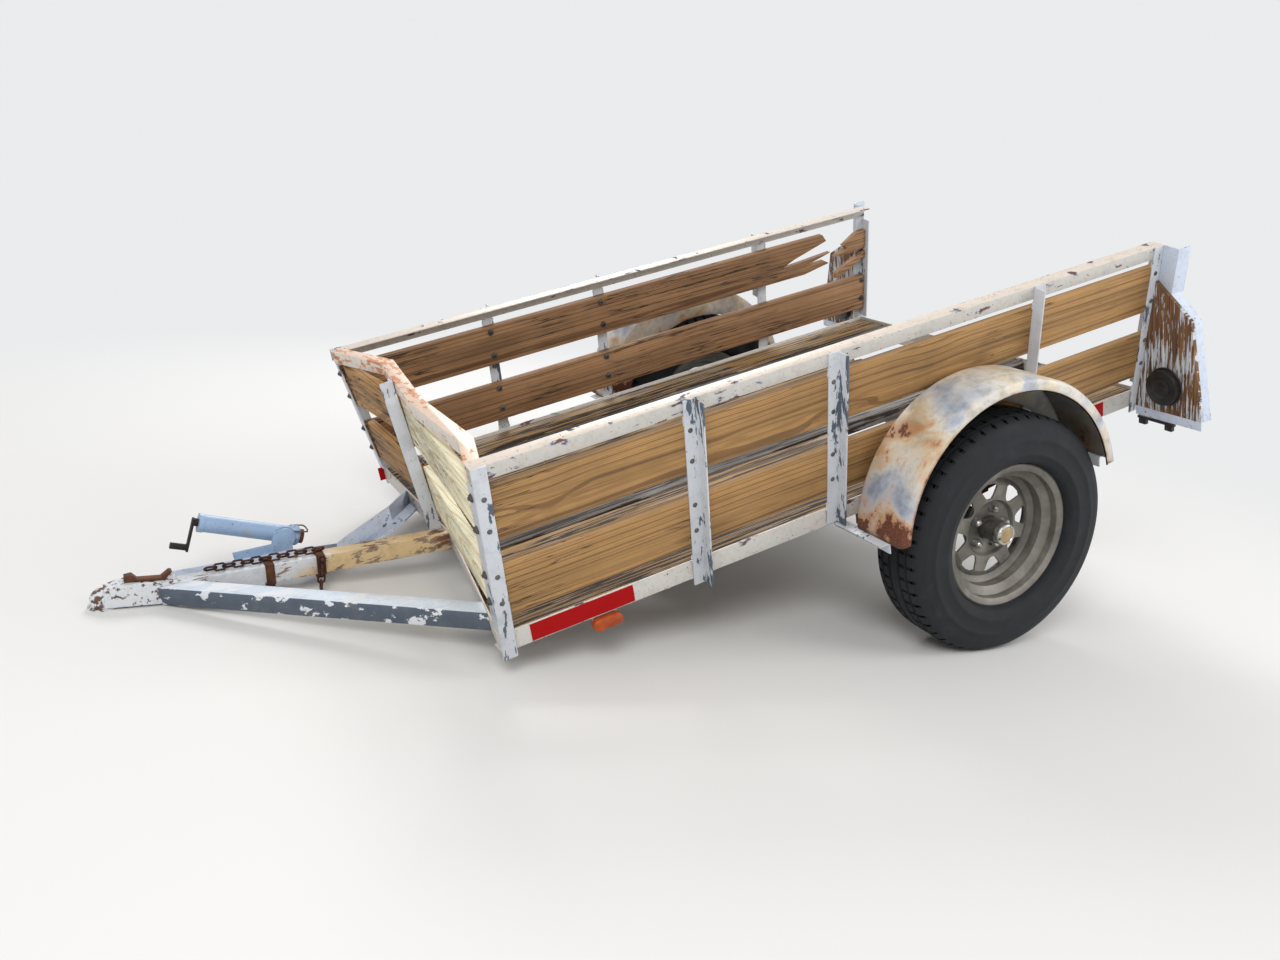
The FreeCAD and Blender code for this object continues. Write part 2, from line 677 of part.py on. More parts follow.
def make_tongue():
    """Bent square tongue, straight left brace and buckled right brace."""
    width = float(D.tongue_width)
    seat = float(D.seat)
    front, bend, rear = tongue_points()
    run = (rear - bend).normalize()
    tube = square_tube([front, bend, rear + run * width], width, float(D.tongue_wall), Vector(0, 0, 1))
    face = Vector(push - seat, 0, 0)
    shaped("tongue_tube", tube.cut(half_space(face, Vector(1, 0, 0))))

    leg = float(D.rail_leg)
    wall = float(D.rail_wall)
    path = pushed_path()
    line = (path[1] - path[0]).normalize()
    outward = Vector(0, 0, 1).cross(line)
    outward = outward if outward.x < 0 else outward * -1
    start = Vector(10, float(D.brace_inset) - half_width, leg / 2)
    stop = Vector(bend.x - 40, -width / 2 - 12, bend.z + 4)
    along = (stop - start).normalize()
    inner = along.cross(Vector(0, 0, 1)).normalize()
    rise = inner.cross(along).normalize()
    inner = inner if inner.y > 0 else inner * -1
    rise = rise if rise.z > 0 else rise * -1
    base = start - along * 2 * leg + rise * (leg / 2)
    profile = Part.Face(angle_profile(base, inner, rise * -1, leg, wall))
    bar = profile.extrude(along * ((stop - start).Length + 4 * leg))
    bar = bar.cut(half_space(path[0] + outward * seat, outward * -1))
    cheek = width / 2 + float(D.coupler_wall) + 2 * seat
    bar = bar.cut(half_space(Vector(0, -cheek, 0), Vector(0, 1, 0)))
    shaped("left_brace", bar.Solids[0])

    face_y = cheek + leg
    slope = (bend.z - rear.z) / (rear.x - bend.x)

    def top(x):
        return rear.z + (rear.x - x) * slope - float(D.brace_drop) + leg / 2

    head = bend.x - 10
    crease = -float(D.crease_back)
    knee = Vector(-float(D.knee_back), float(D.knee_out), float(D.knee_top))
    end = Vector(push, float(D.brace_end), leg)
    points = [Vector(head, face_y, top(head)), Vector(crease, face_y, top(crease)),
              Vector(-float(D.elbow_back), float(D.elbow_out), float(D.elbow_top)), knee,
              end + (end - knee).normalize() * leg]
    bar = creased_angle(points, leg, wall)
    bar = bar.cut(half_space(face, Vector(1, 0, 0)))
    bar = bar.cut(half_space(Vector(0, cheek, 0), Vector(0, -1, 0)))
    shaped("right_brace", bar.Solids[0])


def make_clamps():
    """Two strap clamps round the tongue with a bolt under each; the chain hangs from the rear one's pin."""
    width = float(D.tongue_width)
    wall = float(D.clamp_wall)
    bend, rear = tongue_points()[1:]
    run = (rear - bend).normalize()
    inner = width + 2 * float(D.seat)
    outer = inner + 2 * wall
    deep = float(D.clamp_width)
    clamps = []
    for back in (float(D.clamp_front), float(D.clamp_rear)):
        middle = rear + run * ((-back - rear.x) / run.x)
        frame = axes(middle - run * (deep / 2), Vector(0, 1, 0), run)
        strap = Part.makeBox(outer, outer, deep, Vector(-outer / 2, -outer / 2, 0))
        strap = strap.cut(Part.makeBox(inner, inner, deep, Vector(-inner / 2, -inner / 2, 0)))
        ear = Part.makeBox(outer / 3, 5 * wall, deep, Vector(-outer / 6, -outer / 2 - 5 * wall, 0))
        bolt = Part.makeCylinder(1.6 * wall, outer / 2, Vector(-outer / 4, -outer / 2 - 3 * wall, deep / 2),
                                 Vector(1, 0, 0))
        clamp = strap.fuse(ear).fuse(bolt)
        if back == float(D.clamp_rear):
            pin = Part.makeCylinder(1.4 * wall, float(D.link_width), Vector(-outer / 2, outer / 2 - float(D.pin_drop), deep / 2),
                                    Vector(-1, 0, 0))
            clamp = clamp.fuse(pin)
        clamp = clamp.removeSplitter()
        clamp.Placement = frame
        clamps.append(clamp)
    shaped("tongue_clamps", Part.makeCompound(clamps))


def chain_link(middle, along, across):
    """A closed link of six-sided wire with mitred corners, flat in the plane of two directions."""
    wire = float(D.link_wire)
    long = (float(D.link_length) - wire) / 2
    wide = (float(D.link_width) - wire) / 2
    nose = wide * 0.6
    flat = [(long - nose, wide), (long, wide - nose), (long, nose - wide), (long - nose, -wide),
            (nose - long, -wide), (-long, nose - wide), (-long, wide - nose), (nose - long, wide)]
    normal = along.cross(across)
    rings = []
    for index, (a, b) in enumerate(flat):
        before = Vector(a - flat[index - 1][0], b - flat[index - 1][1], 0).normalize()
        after = flat[(index + 1) % len(flat)]
        after = Vector(after[0] - a, after[1] - b, 0).normalize()
        outward = (Vector(-before.y, before.x, 0) + Vector(-after.y, after.x, 0)) / (1 + before.dot(after))
        ring = []
        for angle in [math.radians(60 * k) for k in range(6)]:
            spread = wire / 2 * math.cos(angle)
            ring.append(middle + along * (a + outward.x * spread) + across * (b + outward.y * spread)
                        + normal * (wire / 2 * math.sin(angle)))
        rings.append(ring)
    faces = []
    for index, ring in enumerate(rings):
        following = rings[(index + 1) % len(rings)]
        for k in range(6):
            after = (k + 1) % 6
            faces.append(Part.Face(Part.makePolygon([ring[k], ring[after], following[after],
                                                     following[k], ring[k]])))
    link = Part.makeSolid(Part.makeShell(faces))
    if link.Volume < 0:
        link.reverse()
    return link


def make_chain():
    """Safety chain along the tongue's top over the clamps, with its end hanging from the rear clamp."""
    bend, rear = tongue_points()[1:]
    run = (rear - bend).normalize()
    above = Vector(0, 1, 0).cross(run) * -1
    seat = float(D.seat)
    pitch_length = float(D.link_length) - 2 * float(D.link_wire) - seat
    strap = float(D.tongue_width) / 2 + seat + float(D.clamp_wall)
    half = (float(D.link_width) - float(D.link_wire)) / 2 * math.sqrt(0.5) + float(D.link_wire) / 2
    last = rear + run * ((-float(D.clamp_rear) - rear.x) / run.x) + above * (strap + half)
    links = []
    for index in range(TOP_LINKS):
        tilt = 1 if index % 2 else -1
        across = (Vector(0, 1, 0) + above * tilt).normalize()
        links.append(chain_link(last - run * (pitch_length * index), run, across))
    reach_out = strap + float(D.link_width) / 2 + 4 * seat
    pin = rear + run * ((-float(D.clamp_rear) - rear.x) / run.x)
    pin = pin + above * (strap - float(D.pin_drop)) + Vector(0, -reach_out, 0)
    down = level_up * -1
    first = pin + down * (float(D.link_length) / 2 - float(D.link_wire) - 1.4 * float(D.clamp_wall) - seat)
    for index in range(HANGING_LINKS):
        across = level_back if index % 2 == 0 else Vector(0, 1, 0)
        links.append(chain_link(first + down * (pitch_length * index), down, across))
    shaped("safety_chain", Part.makeCompound(links))


def coupler_frame():
    """Coupler's own frame: origin at the ball centre, X level rearward, Z level up."""
    return axes(ball, level_back, level_up)


def make_coupler():
    """Pressed-steel ball coupler over the tongue's end, with its latch lever."""
    wall = float(D.coupler_wall)
    inner = float(D.ball_radius)
    lip = float(D.ball_lip)
    tail = float(D.coupler_tail)
    wide = float(D.tongue_width) / 2 + float(D.seat)
    top = float(D.tongue_width) + 10 - lip + float(D.seat)
    dome = Part.makeSphere(inner + wall)
    dome = dome.cut(Part.makeBox(200, 200, 100, Vector(-100, -100, -100)))
    skirt = Part.makeCylinder(inner + wall, lip, Vector(0, 0, -lip))
    rim = Part.makeCylinder(inner + wall + 5, 4, Vector(0, 0, -lip))
    ramp_low = -lip + 6
    outer = Part.makePolygon([Vector(x, -wide - wall, z) for x, z in
                              ((4, ramp_low), (tail, ramp_low), (tail, top + wall),
                               (48, top + wall), (4, inner + wall - 1), (4, ramp_low))])
    channel = Part.Face(outer).extrude(Vector(0, 2 * (wide + wall), 0))
    hollow = Part.makePolygon([Vector(x, -wide, z) for x, z in
                               ((-60, ramp_low - 20), (tail + 10, ramp_low - 20), (tail + 10, top),
                                (49, top), (6, inner - 2), (-60, inner - 2), (-60, ramp_low - 20))])
    channel = channel.cut(Part.Face(hollow).extrude(Vector(0, 2 * wide, 0)))
    shell = dome.fuse(skirt).fuse(rim).fuse(channel)
    cavity = Part.makeSphere(inner).cut(Part.makeBox(200, 200, 100, Vector(-100, -100, -100)))
    cavity = cavity.fuse(Part.makeCylinder(inner, lip + 10, Vector(0, 0, -lip - 10)))
    shell = shell.cut(cavity).removeSplitter()
    shaped("coupler", shell.Solids[0] if shell.Solids else shell, coupler_frame())

    seat = float(D.seat)
    rest = top + wall + seat
    lever = [(52, rest), (150, rest), (168, rest + 22), (160, rest + 24), (140, rest + 7),
             (84, rest + 7), (70, rest + 20), (52, rest + 16), (52, rest)]
    face = Part.Face(Part.makePolygon([Vector(x, -13, z) for x, z in lever]))
    shaped("coupler_latch", face.extrude(Vector(0, 26, 0)), coupler_frame())


def jack_places():
    """Pivot of the tongue jack and the direction of its stowed tube."""
    tilt = math.radians(float(D.jack_tilt))
    plate = float(D.tongue_width) / 2 + float(D.coupler_wall) + 2 * float(D.seat) + float(D.rail_leg)
    pivot = Vector(-float(D.jack_back), plate, float(D.jack_rise))
    along = Vector(-math.cos(tilt), 0, math.sin(tilt))
    return pivot, along


def make_jack():
    """Side-swivel tongue jack, stowed along the tongue: bracket, tube with crank, inner leg."""
    pivot, along = jack_places()
    seat = float(D.seat)
    plate = float(D.jack_plate)
    ring = float(D.jack_ring)
    stub = float(D.jack_stub)
    radius = float(D.jack_radius)
    wall = float(D.jack_wall)
    tail = float(D.jack_tail)
    head = float(D.jack_head)
    base = Vector(pivot.x, pivot.y + seat, pivot.z)
    front, bend, rear = tongue_points()
    slope = (bend.z - rear.z) / (bend.x - rear.x)
    flank = float(D.rail_leg) / 2
    tip = base.x - float(D.jack_foot)
    end = base.x + stub - 3
    mid = base.x - 2.5 * stub
    level = rear.z - float(D.brace_drop)
    line = [(tip, -flank / 2), (tip, flank + 20), (mid, flank + 26), (base.x - 1.5 * stub, None), (end, None),
            (end, -flank / 2), (tip, -flank / 2)]
    high = base.z + 1.6 * stub
    corners = [Vector(x, base.y, high if lift is None else level + (x - rear.x) * slope + lift)
               for x, lift in line]
    slab = Part.Face(Part.makePolygon(corners)).extrude(Vector(0, plate, 0))
    post = Part.makeCylinder(stub, 2 * plate + ring - 1, base, Vector(0, 1, 0))
    boss = Part.makeCylinder(stub + 12, plate + 1, base, Vector(0, 1, 0))
    shaped("jack_bracket", slab.fuse(post).fuse(boss).removeSplitter())

    inner = -ring - radius + 4
    frame = axes(base + Vector(0, 2 * plate - inner, 0), Vector(0, 1, 0), along)
    shape = Part.makeCylinder(radius, tail + head, Vector(0, 0, -tail))
    shape = shape.fuse(Part.makeCylinder(float(D.ring_radius), ring, Vector(inner, 0, 0), Vector(1, 0, 0)))
    shape = shape.cut(Part.makeCylinder(radius - wall, tail + head - 6, Vector(0, 0, -tail - 1)))
    shape = shape.cut(Part.makeCylinder(stub + seat, ring + 2, Vector(inner - 1, 0, 0), Vector(1, 0, 0)))
    cap = Part.makeCylinder(radius + 2, 14, Vector(0, 0, head - 10))
    cap = cap.cut(Part.makeCylinder(radius - 0.01, 8, Vector(0, 0, head - 12)))
    shaped("jack_tube", shape.fuse(cap).removeSplitter(), frame)

    arm_at = head + 4 + seat
    reach_out = float(D.crank_arm)
    arm = Part.makeBox(20, reach_out + 20, 6, Vector(-10, -10, arm_at + 10))
    hub = Part.makeCylinder(11, 16, Vector(0, 0, arm_at))
    grip = Part.makeCylinder(9, 42, Vector(0, reach_out, arm_at + 16))
    shaped("jack_crank", arm.fuse(hub).fuse(grip).removeSplitter(), frame)

    low = -tail - float(D.leg_tuck)
    long = head - float(D.leg_top) - low
    leg = Part.makeCylinder(radius - wall - 0.5, long, Vector(0, 0, low))
    leg = leg.cut(Part.makeCylinder(radius - wall - 4, long + 2, Vector(0, 0, low - 1)))
    shaped("jack_leg", leg, frame)


def make_axle():
    """Axle tube with its two spindles."""
    end = half_width + float(D.axle_over)
    width = float(D.axle_width)
    tube = Part.makeBox(width, 2 * end, width, Vector(axle.x - width / 2, -end, axle.z - width / 2))
    bore = width - 10
    tube = tube.cut(Part.makeBox(bore, 2 * end - 20, bore,
                                 Vector(axle.x - bore / 2, -end + 10, axle.z - bore / 2)))
    for side in (-1, 1):
        long = float(D.wheel_out) + 16 - float(D.axle_over)
        spindle = Part.makeCylinder(float(D.spindle_radius), long, Vector(axle.x, side * (end - 6), axle.z),
                                    Vector(0, side, 0))
        tube = tube.fuse(spindle)
    shaped("axle", tube.removeSplitter())


def leaf(radius, thick, half_angle, middle):
    """One bent spring leaf: a band of an arc about a centre above the spring."""
    inner = radius - thick
    left = -math.pi / 2 - half_angle
    right = -math.pi / 2 + half_angle

    def on(r, a):
        return middle + Vector(r * math.cos(a), 0, r * math.sin(a))

    edges = [Part.Arc(on(radius, left), on(radius, -math.pi / 2), on(radius, right)).toShape(),
             Part.makeLine(on(radius, right), on(inner, right)),
             Part.Arc(on(inner, right), on(inner, -math.pi / 2), on(inner, left)).toShape(),
             Part.makeLine(on(inner, left), on(radius, left))]
    return Part.Face(Part.Wire(edges))


def make_springs():
    """Three-leaf springs under the rails, with hangers, shackles and axle clamps."""
    wide = float(D.spring_width)
    thick = float(D.leaf_thick)
    span = float(D.tyre_radius) + float(D.fender_gap) - float(D.fender_ahead) - float(D.eye_inset)
    eye = float(D.eye_drop)
    bottom = axle.z + float(D.axle_width) / 2 + float(D.seat)
    pin = 7.0
    curl = pin + thick + 0.3
    sag = -eye - curl + thick - (bottom + 2 * thick)
    radius = (span ** 2 + sag ** 2) / (2 * sag)
    middle = Vector(axle.x, 0, bottom + 2 * thick + radius)
    leg = float(D.rail_leg)
    hangers = []
    clamp_sets = []
    for word, side in SIDES:
        line = side * (half_width - leg / 2)
        low = Vector(0, line - wide / 2, 0)
        pack = None
        for index, share in enumerate((1.0, 0.68, 0.4)):
            arc = leaf(radius + index * thick, thick, math.asin(span / radius) * share, middle)
            solid = arc.extrude(Vector(0, wide, 0))
            solid.translate(low)
            pack = solid if pack is None else pack.fuse(solid)
        for end in (-1, 1):
            ring = Part.makeCylinder(curl, wide, Vector(axle.x + end * span, low.y, -eye), Vector(0, 1, 0))
            pack = pack.fuse(ring)
        for end in (-1, 1):
            pack = pack.cut(Part.makeCylinder(pin + 0.3, wide + 2,
                                              Vector(axle.x + end * span, low.y - 1, -eye), Vector(0, 1, 0)))
        shaped("%s_spring" % word, pack.removeSplitter())

        plates = None
        for end in (-1, 1):
            x = axle.x + end * span
            for cheek in (-1, 1):
                y = line + cheek * (wide / 2 + 0.5) - (0 if cheek > 0 else 4)
                ear = Part.makeBox(44, 4, eye + 14, Vector(x - 22, y, -eye - 14))
                plates = ear if plates is None else plates.fuse(ear)
            bolt = Part.makeCylinder(pin, wide + 17, Vector(x, line - wide / 2 - 8.5, -eye), Vector(0, 1, 0))
            pad_plate = Part.makeBox(60, wide + 1, 5, Vector(x - 30, line - wide / 2 - 0.5, -5))
            plates = plates.fuse(bolt).fuse(pad_plate)
        hangers.append(plates.removeSplitter())

        depth = float(D.axle_width) / 2
        reach_x = depth + 6.5
        under = axle.z - depth - float(D.seat)
        plate = Part.makeBox(2 * reach_x + 28, wide + 26, 8,
                             Vector(axle.x - reach_x - 14, line - wide / 2 - 13, under - 8))
        top = bottom + 3 * thick + float(D.seat) + 6
        clamps = plate
        for end in (-1, 1):
            x = axle.x + end * reach_x
            half = wide / 2 + 6
            for cheek in (-1, 1):
                rod = Part.makeCylinder(5, top - under + 22, Vector(x, line + cheek * half, under - 22))
                nut = Part.makeCylinder(9, 9, Vector(x, line + cheek * half, under - 17))
                clamps = clamps.fuse(rod).fuse(nut)
            bar = Part.makeCylinder(5, 2 * half, Vector(x, line - half, top), Vector(0, 1, 0))
            clamps = clamps.fuse(bar)
        clamp_sets.append(clamps.removeSplitter())
    shaped("spring_hangers", Part.makeCompound(hangers))
    shaped("axle_clamps", Part.makeCompound(clamp_sets))


def wheel_frame(side):
    """Wheel's own frame: origin on the axle at the tyre's middle plane, Z outward."""
    out = half_width + float(D.wheel_out)
    return axes((axle.x, side * out, axle.z), (1, 0, 0), (0, side, 0))


def make_tyre(word, side):
    """Tyre as a closed ring on the rim, with bulging sidewalls and a flat tread."""
    piece = body("%s_tyre" % word)
    half = D.tyre_width / 2
    bead = D.bead_radius + 1
    crown = D.tyre_radius
    flange = D.rim_width / 2 - 8
    lip = D.rim_width / 2 - 3
    over = D.rim_radius + 3
    tall = crown - D.bead_radius
    bulge = D.bead_radius + tall * 0.45
    shoulder = D.bead_radius + tall * 0.86
    corners = [(bead, -flange), (bead, flange), (over, lip), (bulge, half), (shoulder, half - 8),
               (crown, half - 34), (crown, 34 - half), (shoulder, 8 - half), (bulge, -half), (over, -lip)]
    turn(piece, corners)
    finish(piece, wheel_frame(side))


def make_rim(word, side):
    """Eight-window steel wheel: drop-centre rim and pressed disc, turned as one."""
    piece = body("%s_rim" % word)
    seat_r = D.bead_radius
    top = D.rim_radius
    edge = D.rim_width / 2
    wall = 4
    face = edge - D.disc_inset
    well = seat_r - 24
    corners = [(top, edge), (top - 5, edge + 3), (seat_r - 4, edge - 4), (seat_r - 5, edge - 26),
               (well - wall, edge - 38), (well - wall, face + 12), (146, face + 2), (128, face + 14),
               (84, face + 14), (78, face), (34, face), (34, face - 6), (82, face - 6),
               (88, face + 8), (126, face + 8), (150, face - 6), (well - wall, face - 2),
               (well - wall, 2 - edge + 24), (seat_r - 5, 16 - edge), (seat_r - 4, 4 - edge),
               (top - 5, -edge - 3), (top, -edge), (seat_r, 6 - edge), (seat_r, 18 - edge),
               (well, 28 - edge), (well, edge - 36), (seat_r, edge - 24), (seat_r, edge - 6)]
    turn(piece, corners)
    doc.recompute()
    windows = [(98, -15), (123, -30), (131, -23), (134, 0), (131, 23), (123, 30), (98, 15), (90, 7), (90, -7)]
    drawing = outline(piece, "XY_Plane", windows, face + 40)
    cut = piece.newObject("PartDesign::Pocket", piece.Name + "_window")
    cut.Profile = drawing
    cut.Length = 60
    around(piece, cut, drawing, 8)
    lugs = [(57.15 + 7.5 * math.cos(math.radians(a)), 7.5 * math.sin(math.radians(a)))
            for a in range(0, 360, 45)]
    drawing = outline(piece, "XY_Plane", lugs, face + 40)
    cut = piece.newObject("PartDesign::Pocket", piece.Name + "_lug_hole")
    cut.Profile = drawing
    cut.Length = 60
    around(piece, cut, drawing, 5)
    finish(piece, wheel_frame(side))


def around(piece, feature, drawing, count):
    """Repeat a feature around the wheel's axis."""
    ring = piece.newObject("PartDesign::PolarPattern", piece.Name + "_ring")
    ring.Originals = [feature]
    ring.Axis = (drawing, ["N_Axis"])
    ring.Angle = 360
    ring.Occurrences = count
    piece.Tip = ring
    return ring


def make_hub(word, side):
    """Five-stud hub on its spindle, with wheel nuts and a long dust cap."""
    face = float(D.rim_width) / 2 - float(D.disc_inset)
    back = -80.0
    bore = float(D.spindle_radius) + 0.3
    profile = [(bore, back), (34, back), (40, back + 12), (40, face - 30), (70, face - 24),
               (70, face - 6 - float(D.seat)), (32, face - 6 - float(D.seat)), (31, face + 62),
               (28, face + 72), (0, face + 74), (0, face + 30), (bore, face + 24), (bore, back)]
    wire = Part.makePolygon([Vector(r, 0, z) for r, z in profile])
    hub = Part.Face(wire).revolve(Vector(0, 0, 0), Vector(0, 0, 1), 360)
    for index in range(5):
        angle = math.radians(72 * index)
        at = Vector(57.15 * math.cos(angle), 57.15 * math.sin(angle), 0)
        stud = Part.makeCylinder(6, 34, at + Vector(0, 0, face - 12))
        hexagon = Part.makePolygon([at + Vector(11 * math.cos(a), 11 * math.sin(a), face + float(D.seat))
                                    for a in [math.radians(60 * k) for k in range(7)]])
        nut = Part.Face(hexagon).extrude(Vector(0, 0, 16))
        hub = hub.fuse(stud).fuse(nut)
    hub = hub.removeSplitter()
    shaped("%s_hub" % word, hub.Solids[0], wheel_frame(side))


def make_wheels():
    """Tyre, rim and hub of both wheels."""
    for word, side in SIDES:
        make_tyre(word, side)
        make_rim(word, side)
        make_hub(word, side)


def fender_frame(side):
    """Fender's own frame: origin on the fender's axis at its inner edge, Z outward."""
    out = half_width + float(D.fender_inner)
    return axes((axle.x - float(D.fender_ahead), side * out, axle.z + float(D.fender_up)),
                (1, 0, 0), (0, side, 0))


def make_fenders():
    """Round sheet fenders with rolled edges, an outer skirt and an inner wall, on two outriggers each."""
    radius = float(D.tyre_radius) + float(D.fender_gap)
    wide = float(D.fender_width)
    wall = float(D.fender_wall)
    skirt = float(D.fender_skirt)
    centre_z = axle.z + float(D.fender_up)
    open_angle = math.radians(3)
    rest = float(D.seat) - centre_z
    profile = [(radius - 14, 0), (radius - 4, 4), (radius, 14), (radius, wide - 14),
               (radius - 4, wide - 4), (radius - 14, wide), (radius - skirt, wide),
               (radius - skirt, wide - wall), (radius - 14, wide - wall), (radius - 6, wide - 6),
               (radius - wall, wide - 14), (radius - wall, 14), (radius - 6, 6), (radius - 14, wall),
               (radius - 14, 0)]
    over_tyre = float(D.tyre_radius) + float(D.wall_gap)
    for word, side in SIDES:
        wire = Part.makePolygon([Vector(r, 0, z) for r, z in profile])
        sweep = 180 - 2 * math.degrees(open_angle)
        shell = Part.Face(wire).revolve(Vector(0, 0, 0), Vector(0, 0, 1), sweep)
        first = math.degrees(open_angle) if side < 0 else math.degrees(open_angle) + 180
        shell.rotate(Vector(0, 0, 0), Vector(0, 0, 1), first)
        hub_line = Vector(float(D.fender_ahead), side * float(D.fender_up), -1)
        back = Part.makeCylinder(radius - 14, wall)
        back = back.cut(Part.makeCylinder(over_tyre, wall + 2, hub_line))
        back = back.cut(half_space(Vector(0, 0, 0), Vector(0, side, 0)))
        shell = shell.fuse(back).removeSplitter()
        shell = shell.cut(half_space(Vector(0, -side * rest, 0), Vector(0, side, 0)))
        shaped("%s_fender" % word, shell, fender_frame(side))
        leg = float(D.wing_leg) + 4
        reach_out = float(D.fender_inner) + wide - float(D.outrigger_short)
        spread = math.sqrt(radius ** 2 - rest ** 2)
        bars = []
        for sign in (-1, 1):
            x = axle.x - float(D.fender_ahead) + sign * (spread - 2)
            corner = Vector(x - sign * 6, side * (half_width - 40), -float(D.seat))
            bar = angle_profile(corner, Vector(sign, 0, 0), Vector(0, 0, -1), leg, 4)
            bars.append(Part.Face(bar).extrude(Vector(0, side * (reach_out + 40), 0)))
        shaped("%s_outriggers" % word, Part.makeCompound(bars))


def wing_outline(side):
    """Tail board's outline in the plane across the trailer, its inner edge along the leaning post."""
    gap = (float(D.stake_wall) + float(D.seat) * 2) / math.cos(lean)
    foot = half_width + (float(D.rail_leg) * math.tan(lean) if side > 0 else 0)
    rise = float(D.wing_rise)
    reach_out = foot + gap + float(D.wing_reach)
    slope = math.tan(lean) * side

    def at(out, z):
        return Vector(0, side * (out - slope * z), z)

    shear = float(D.wing_taper) if side < 0 else float(D.wing_taper) / 2
    return [at(foot + gap, 0), at(reach_out, 0), at(reach_out - shear, float(D.wing_drop)),
            at(foot + gap, rise)]


def wing_post(side, points):
    """The angle post above a tail board, standing on the slope of its frame."""
    leg = float(D.lamp_post)
    wall = float(D.stake_wall)
    top = points[3]
    edge = (points[2] - top).normalize()
    up = Vector(0, -math.sin(lean), math.cos(lean))
    out = Vector(0, math.cos(lean), math.sin(lean)) * side
    below = top - up * leg
    corners = [(-wall, 0), (0, 0), (0, leg - wall), (leg - wall, leg - wall), (leg - wall, leg), (-wall, leg),
               (-wall, 0)]
    profile = Part.Face(Part.makePolygon([below + Vector(x, 0, 0) + out * y for x, y in corners]))
    post = profile.extrude(up * (leg + (height - top.z) / math.cos(lean)))
    down = Vector(0, -edge.z, edge.y)
    return post.cut(half_space(top, down if down.z < 0 else down * -1))


def make_wings():
    """Tail boards: angle frame with its post and bottom bar, plywood panel and round lamp."""
    back = float(D.bed_length)
    leg = float(D.wing_leg)
    wall = float(D.wing_wall)
    panel = float(D.panel_thick)
    gap = float(D.seat)
    radius = float(D.lamp_radius)
    deep = float(D.lamp_depth)
    for word, side in SIDES:
        points = wing_outline(side)
        outer = Part.makePolygon(points + [points[0]])
        inner = outer.makeOffset2D(-wall)
        opening = outer.makeOffset2D(-leg)
        flange = Part.Face(outer).cut(Part.Face(inner)).extrude(Vector(leg, 0, 0))
        face = Part.Face(outer).cut(Part.Face(opening)).extrude(Vector(-wall, 0, 0))
        front = -panel - gap - wall
        inside = points[0].y + side * wall
        low = min(inside, points[1].y)
        wide = abs(points[1].y - inside)
        shelf = Part.makeBox(leg - front, wide, wall, Vector(front, low, -wall))
        lip = Part.makeBox(wall, wide, leg, Vector(front, low, -leg))
        frame = flange.fuse([face, wing_post(side, points), shelf, lip]).removeSplitter()
        frame.translate(Vector(back, 0, 0))
        shaped("%s_wing_frame" % word, frame.Solids[0])
        sheet_wood = Part.Face(outer).extrude(Vector(-panel, 0, 0))
        sheet_wood.translate(Vector(back - wall - gap, 0, 0))
        sheet_wood = sheet_wood.cut(half_space(Vector(0, 0, gap), Vector(0, 0, -1)))
        share = float(D.lamp_rise) / points[3].z
        foot = points[0] * (1 - share) + points[3] * share
        lamp_at = Vector(back, foot.y + side * float(D.lamp_out), foot.z)
        hole = Part.makeCylinder(radius, 80, lamp_at - Vector(60, 0, 0), Vector(1, 0, 0))
        shaped("%s_wing_panel" % word, sheet_wood.cut(hole))
        can = Part.makeCylinder(radius - 0.5, deep, lamp_at - Vector(deep + 4, 0, 0), Vector(1, 0, 0))
        lens = Part.makeCylinder(radius - 2, 12, lamp_at - Vector(4, 0, 0), Vector(1, 0, 0))
        shaped("%s_tail_lamp" % word, can.fuse(lens).removeSplitter())


def make_markers():
    """Amber side markers under the rails near the front, on small tabs."""
    lenses = []
    tabs = []
    round_end = float(D.marker_radius)
    deep = float(D.marker_depth)
    first = float(D.marker_back) + round_end
    last = float(D.marker_back) + float(D.marker_length) - round_end
    low = -round_end - 7
    seat = float(D.seat)
    for word, side in SIDES:
        y = side * (half_width - float(D.marker_inset))
        lens = Part.makeBox(last - first, deep, 2 * round_end,
                            Vector(first, min(y, y + side * deep), low - round_end))
        for x in (first, last):
            lens = lens.fuse(Part.makeCylinder(round_end, deep, Vector(x, y, low), Vector(0, side, 0)))
        lenses.append(lens.removeSplitter())
        inner = y - side * seat
        tab = Part.makeBox(last - first + 20, 4, 2 * round_end + 2,
                           Vector(first - 10, min(inner, inner - side * 4), -2 * round_end - 2 - seat))
        tabs.append(tab)
    shaped("side_markers", Part.makeCompound(lenses))
    shaped("marker_tabs", Part.makeCompound(tabs))


make_bottom_frame()
make_front_rails()
make_sides()
make_side_boards()
make_front_wall()
make_deck()
make_tongue()
make_clamps()
make_chain()
make_coupler()
make_jack()
make_axle()
make_springs()
make_wheels()
make_fenders()
make_wings()
make_markers()
doc.recompute()


def stand(pieces):
    """Pitch every piece so that it stands on coupler and tyres, centred over the origin."""
    turned = Placement(Vector(0, 0, 0), Rotation(Vector(0, 1, 0), -math.degrees(pitch)))
    box = FreeCAD.BoundBox()
    for piece, place in pieces:
        piece.Placement = turned.multiply(place)
    doc.recompute()
    for piece, place in pieces:
        box.add(piece.Shape.optimalBoundingBox(False, False))
    ground = turned.multVec(axle).z - float(D.tyre_radius)
    move = Placement(Vector(-box.Center.x, 0, -ground), Rotation())
    stance = move.multiply(turned)
    for piece, place in pieces:
        piece.Placement = stance.multiply(place)
    doc.recompute()
    return stance


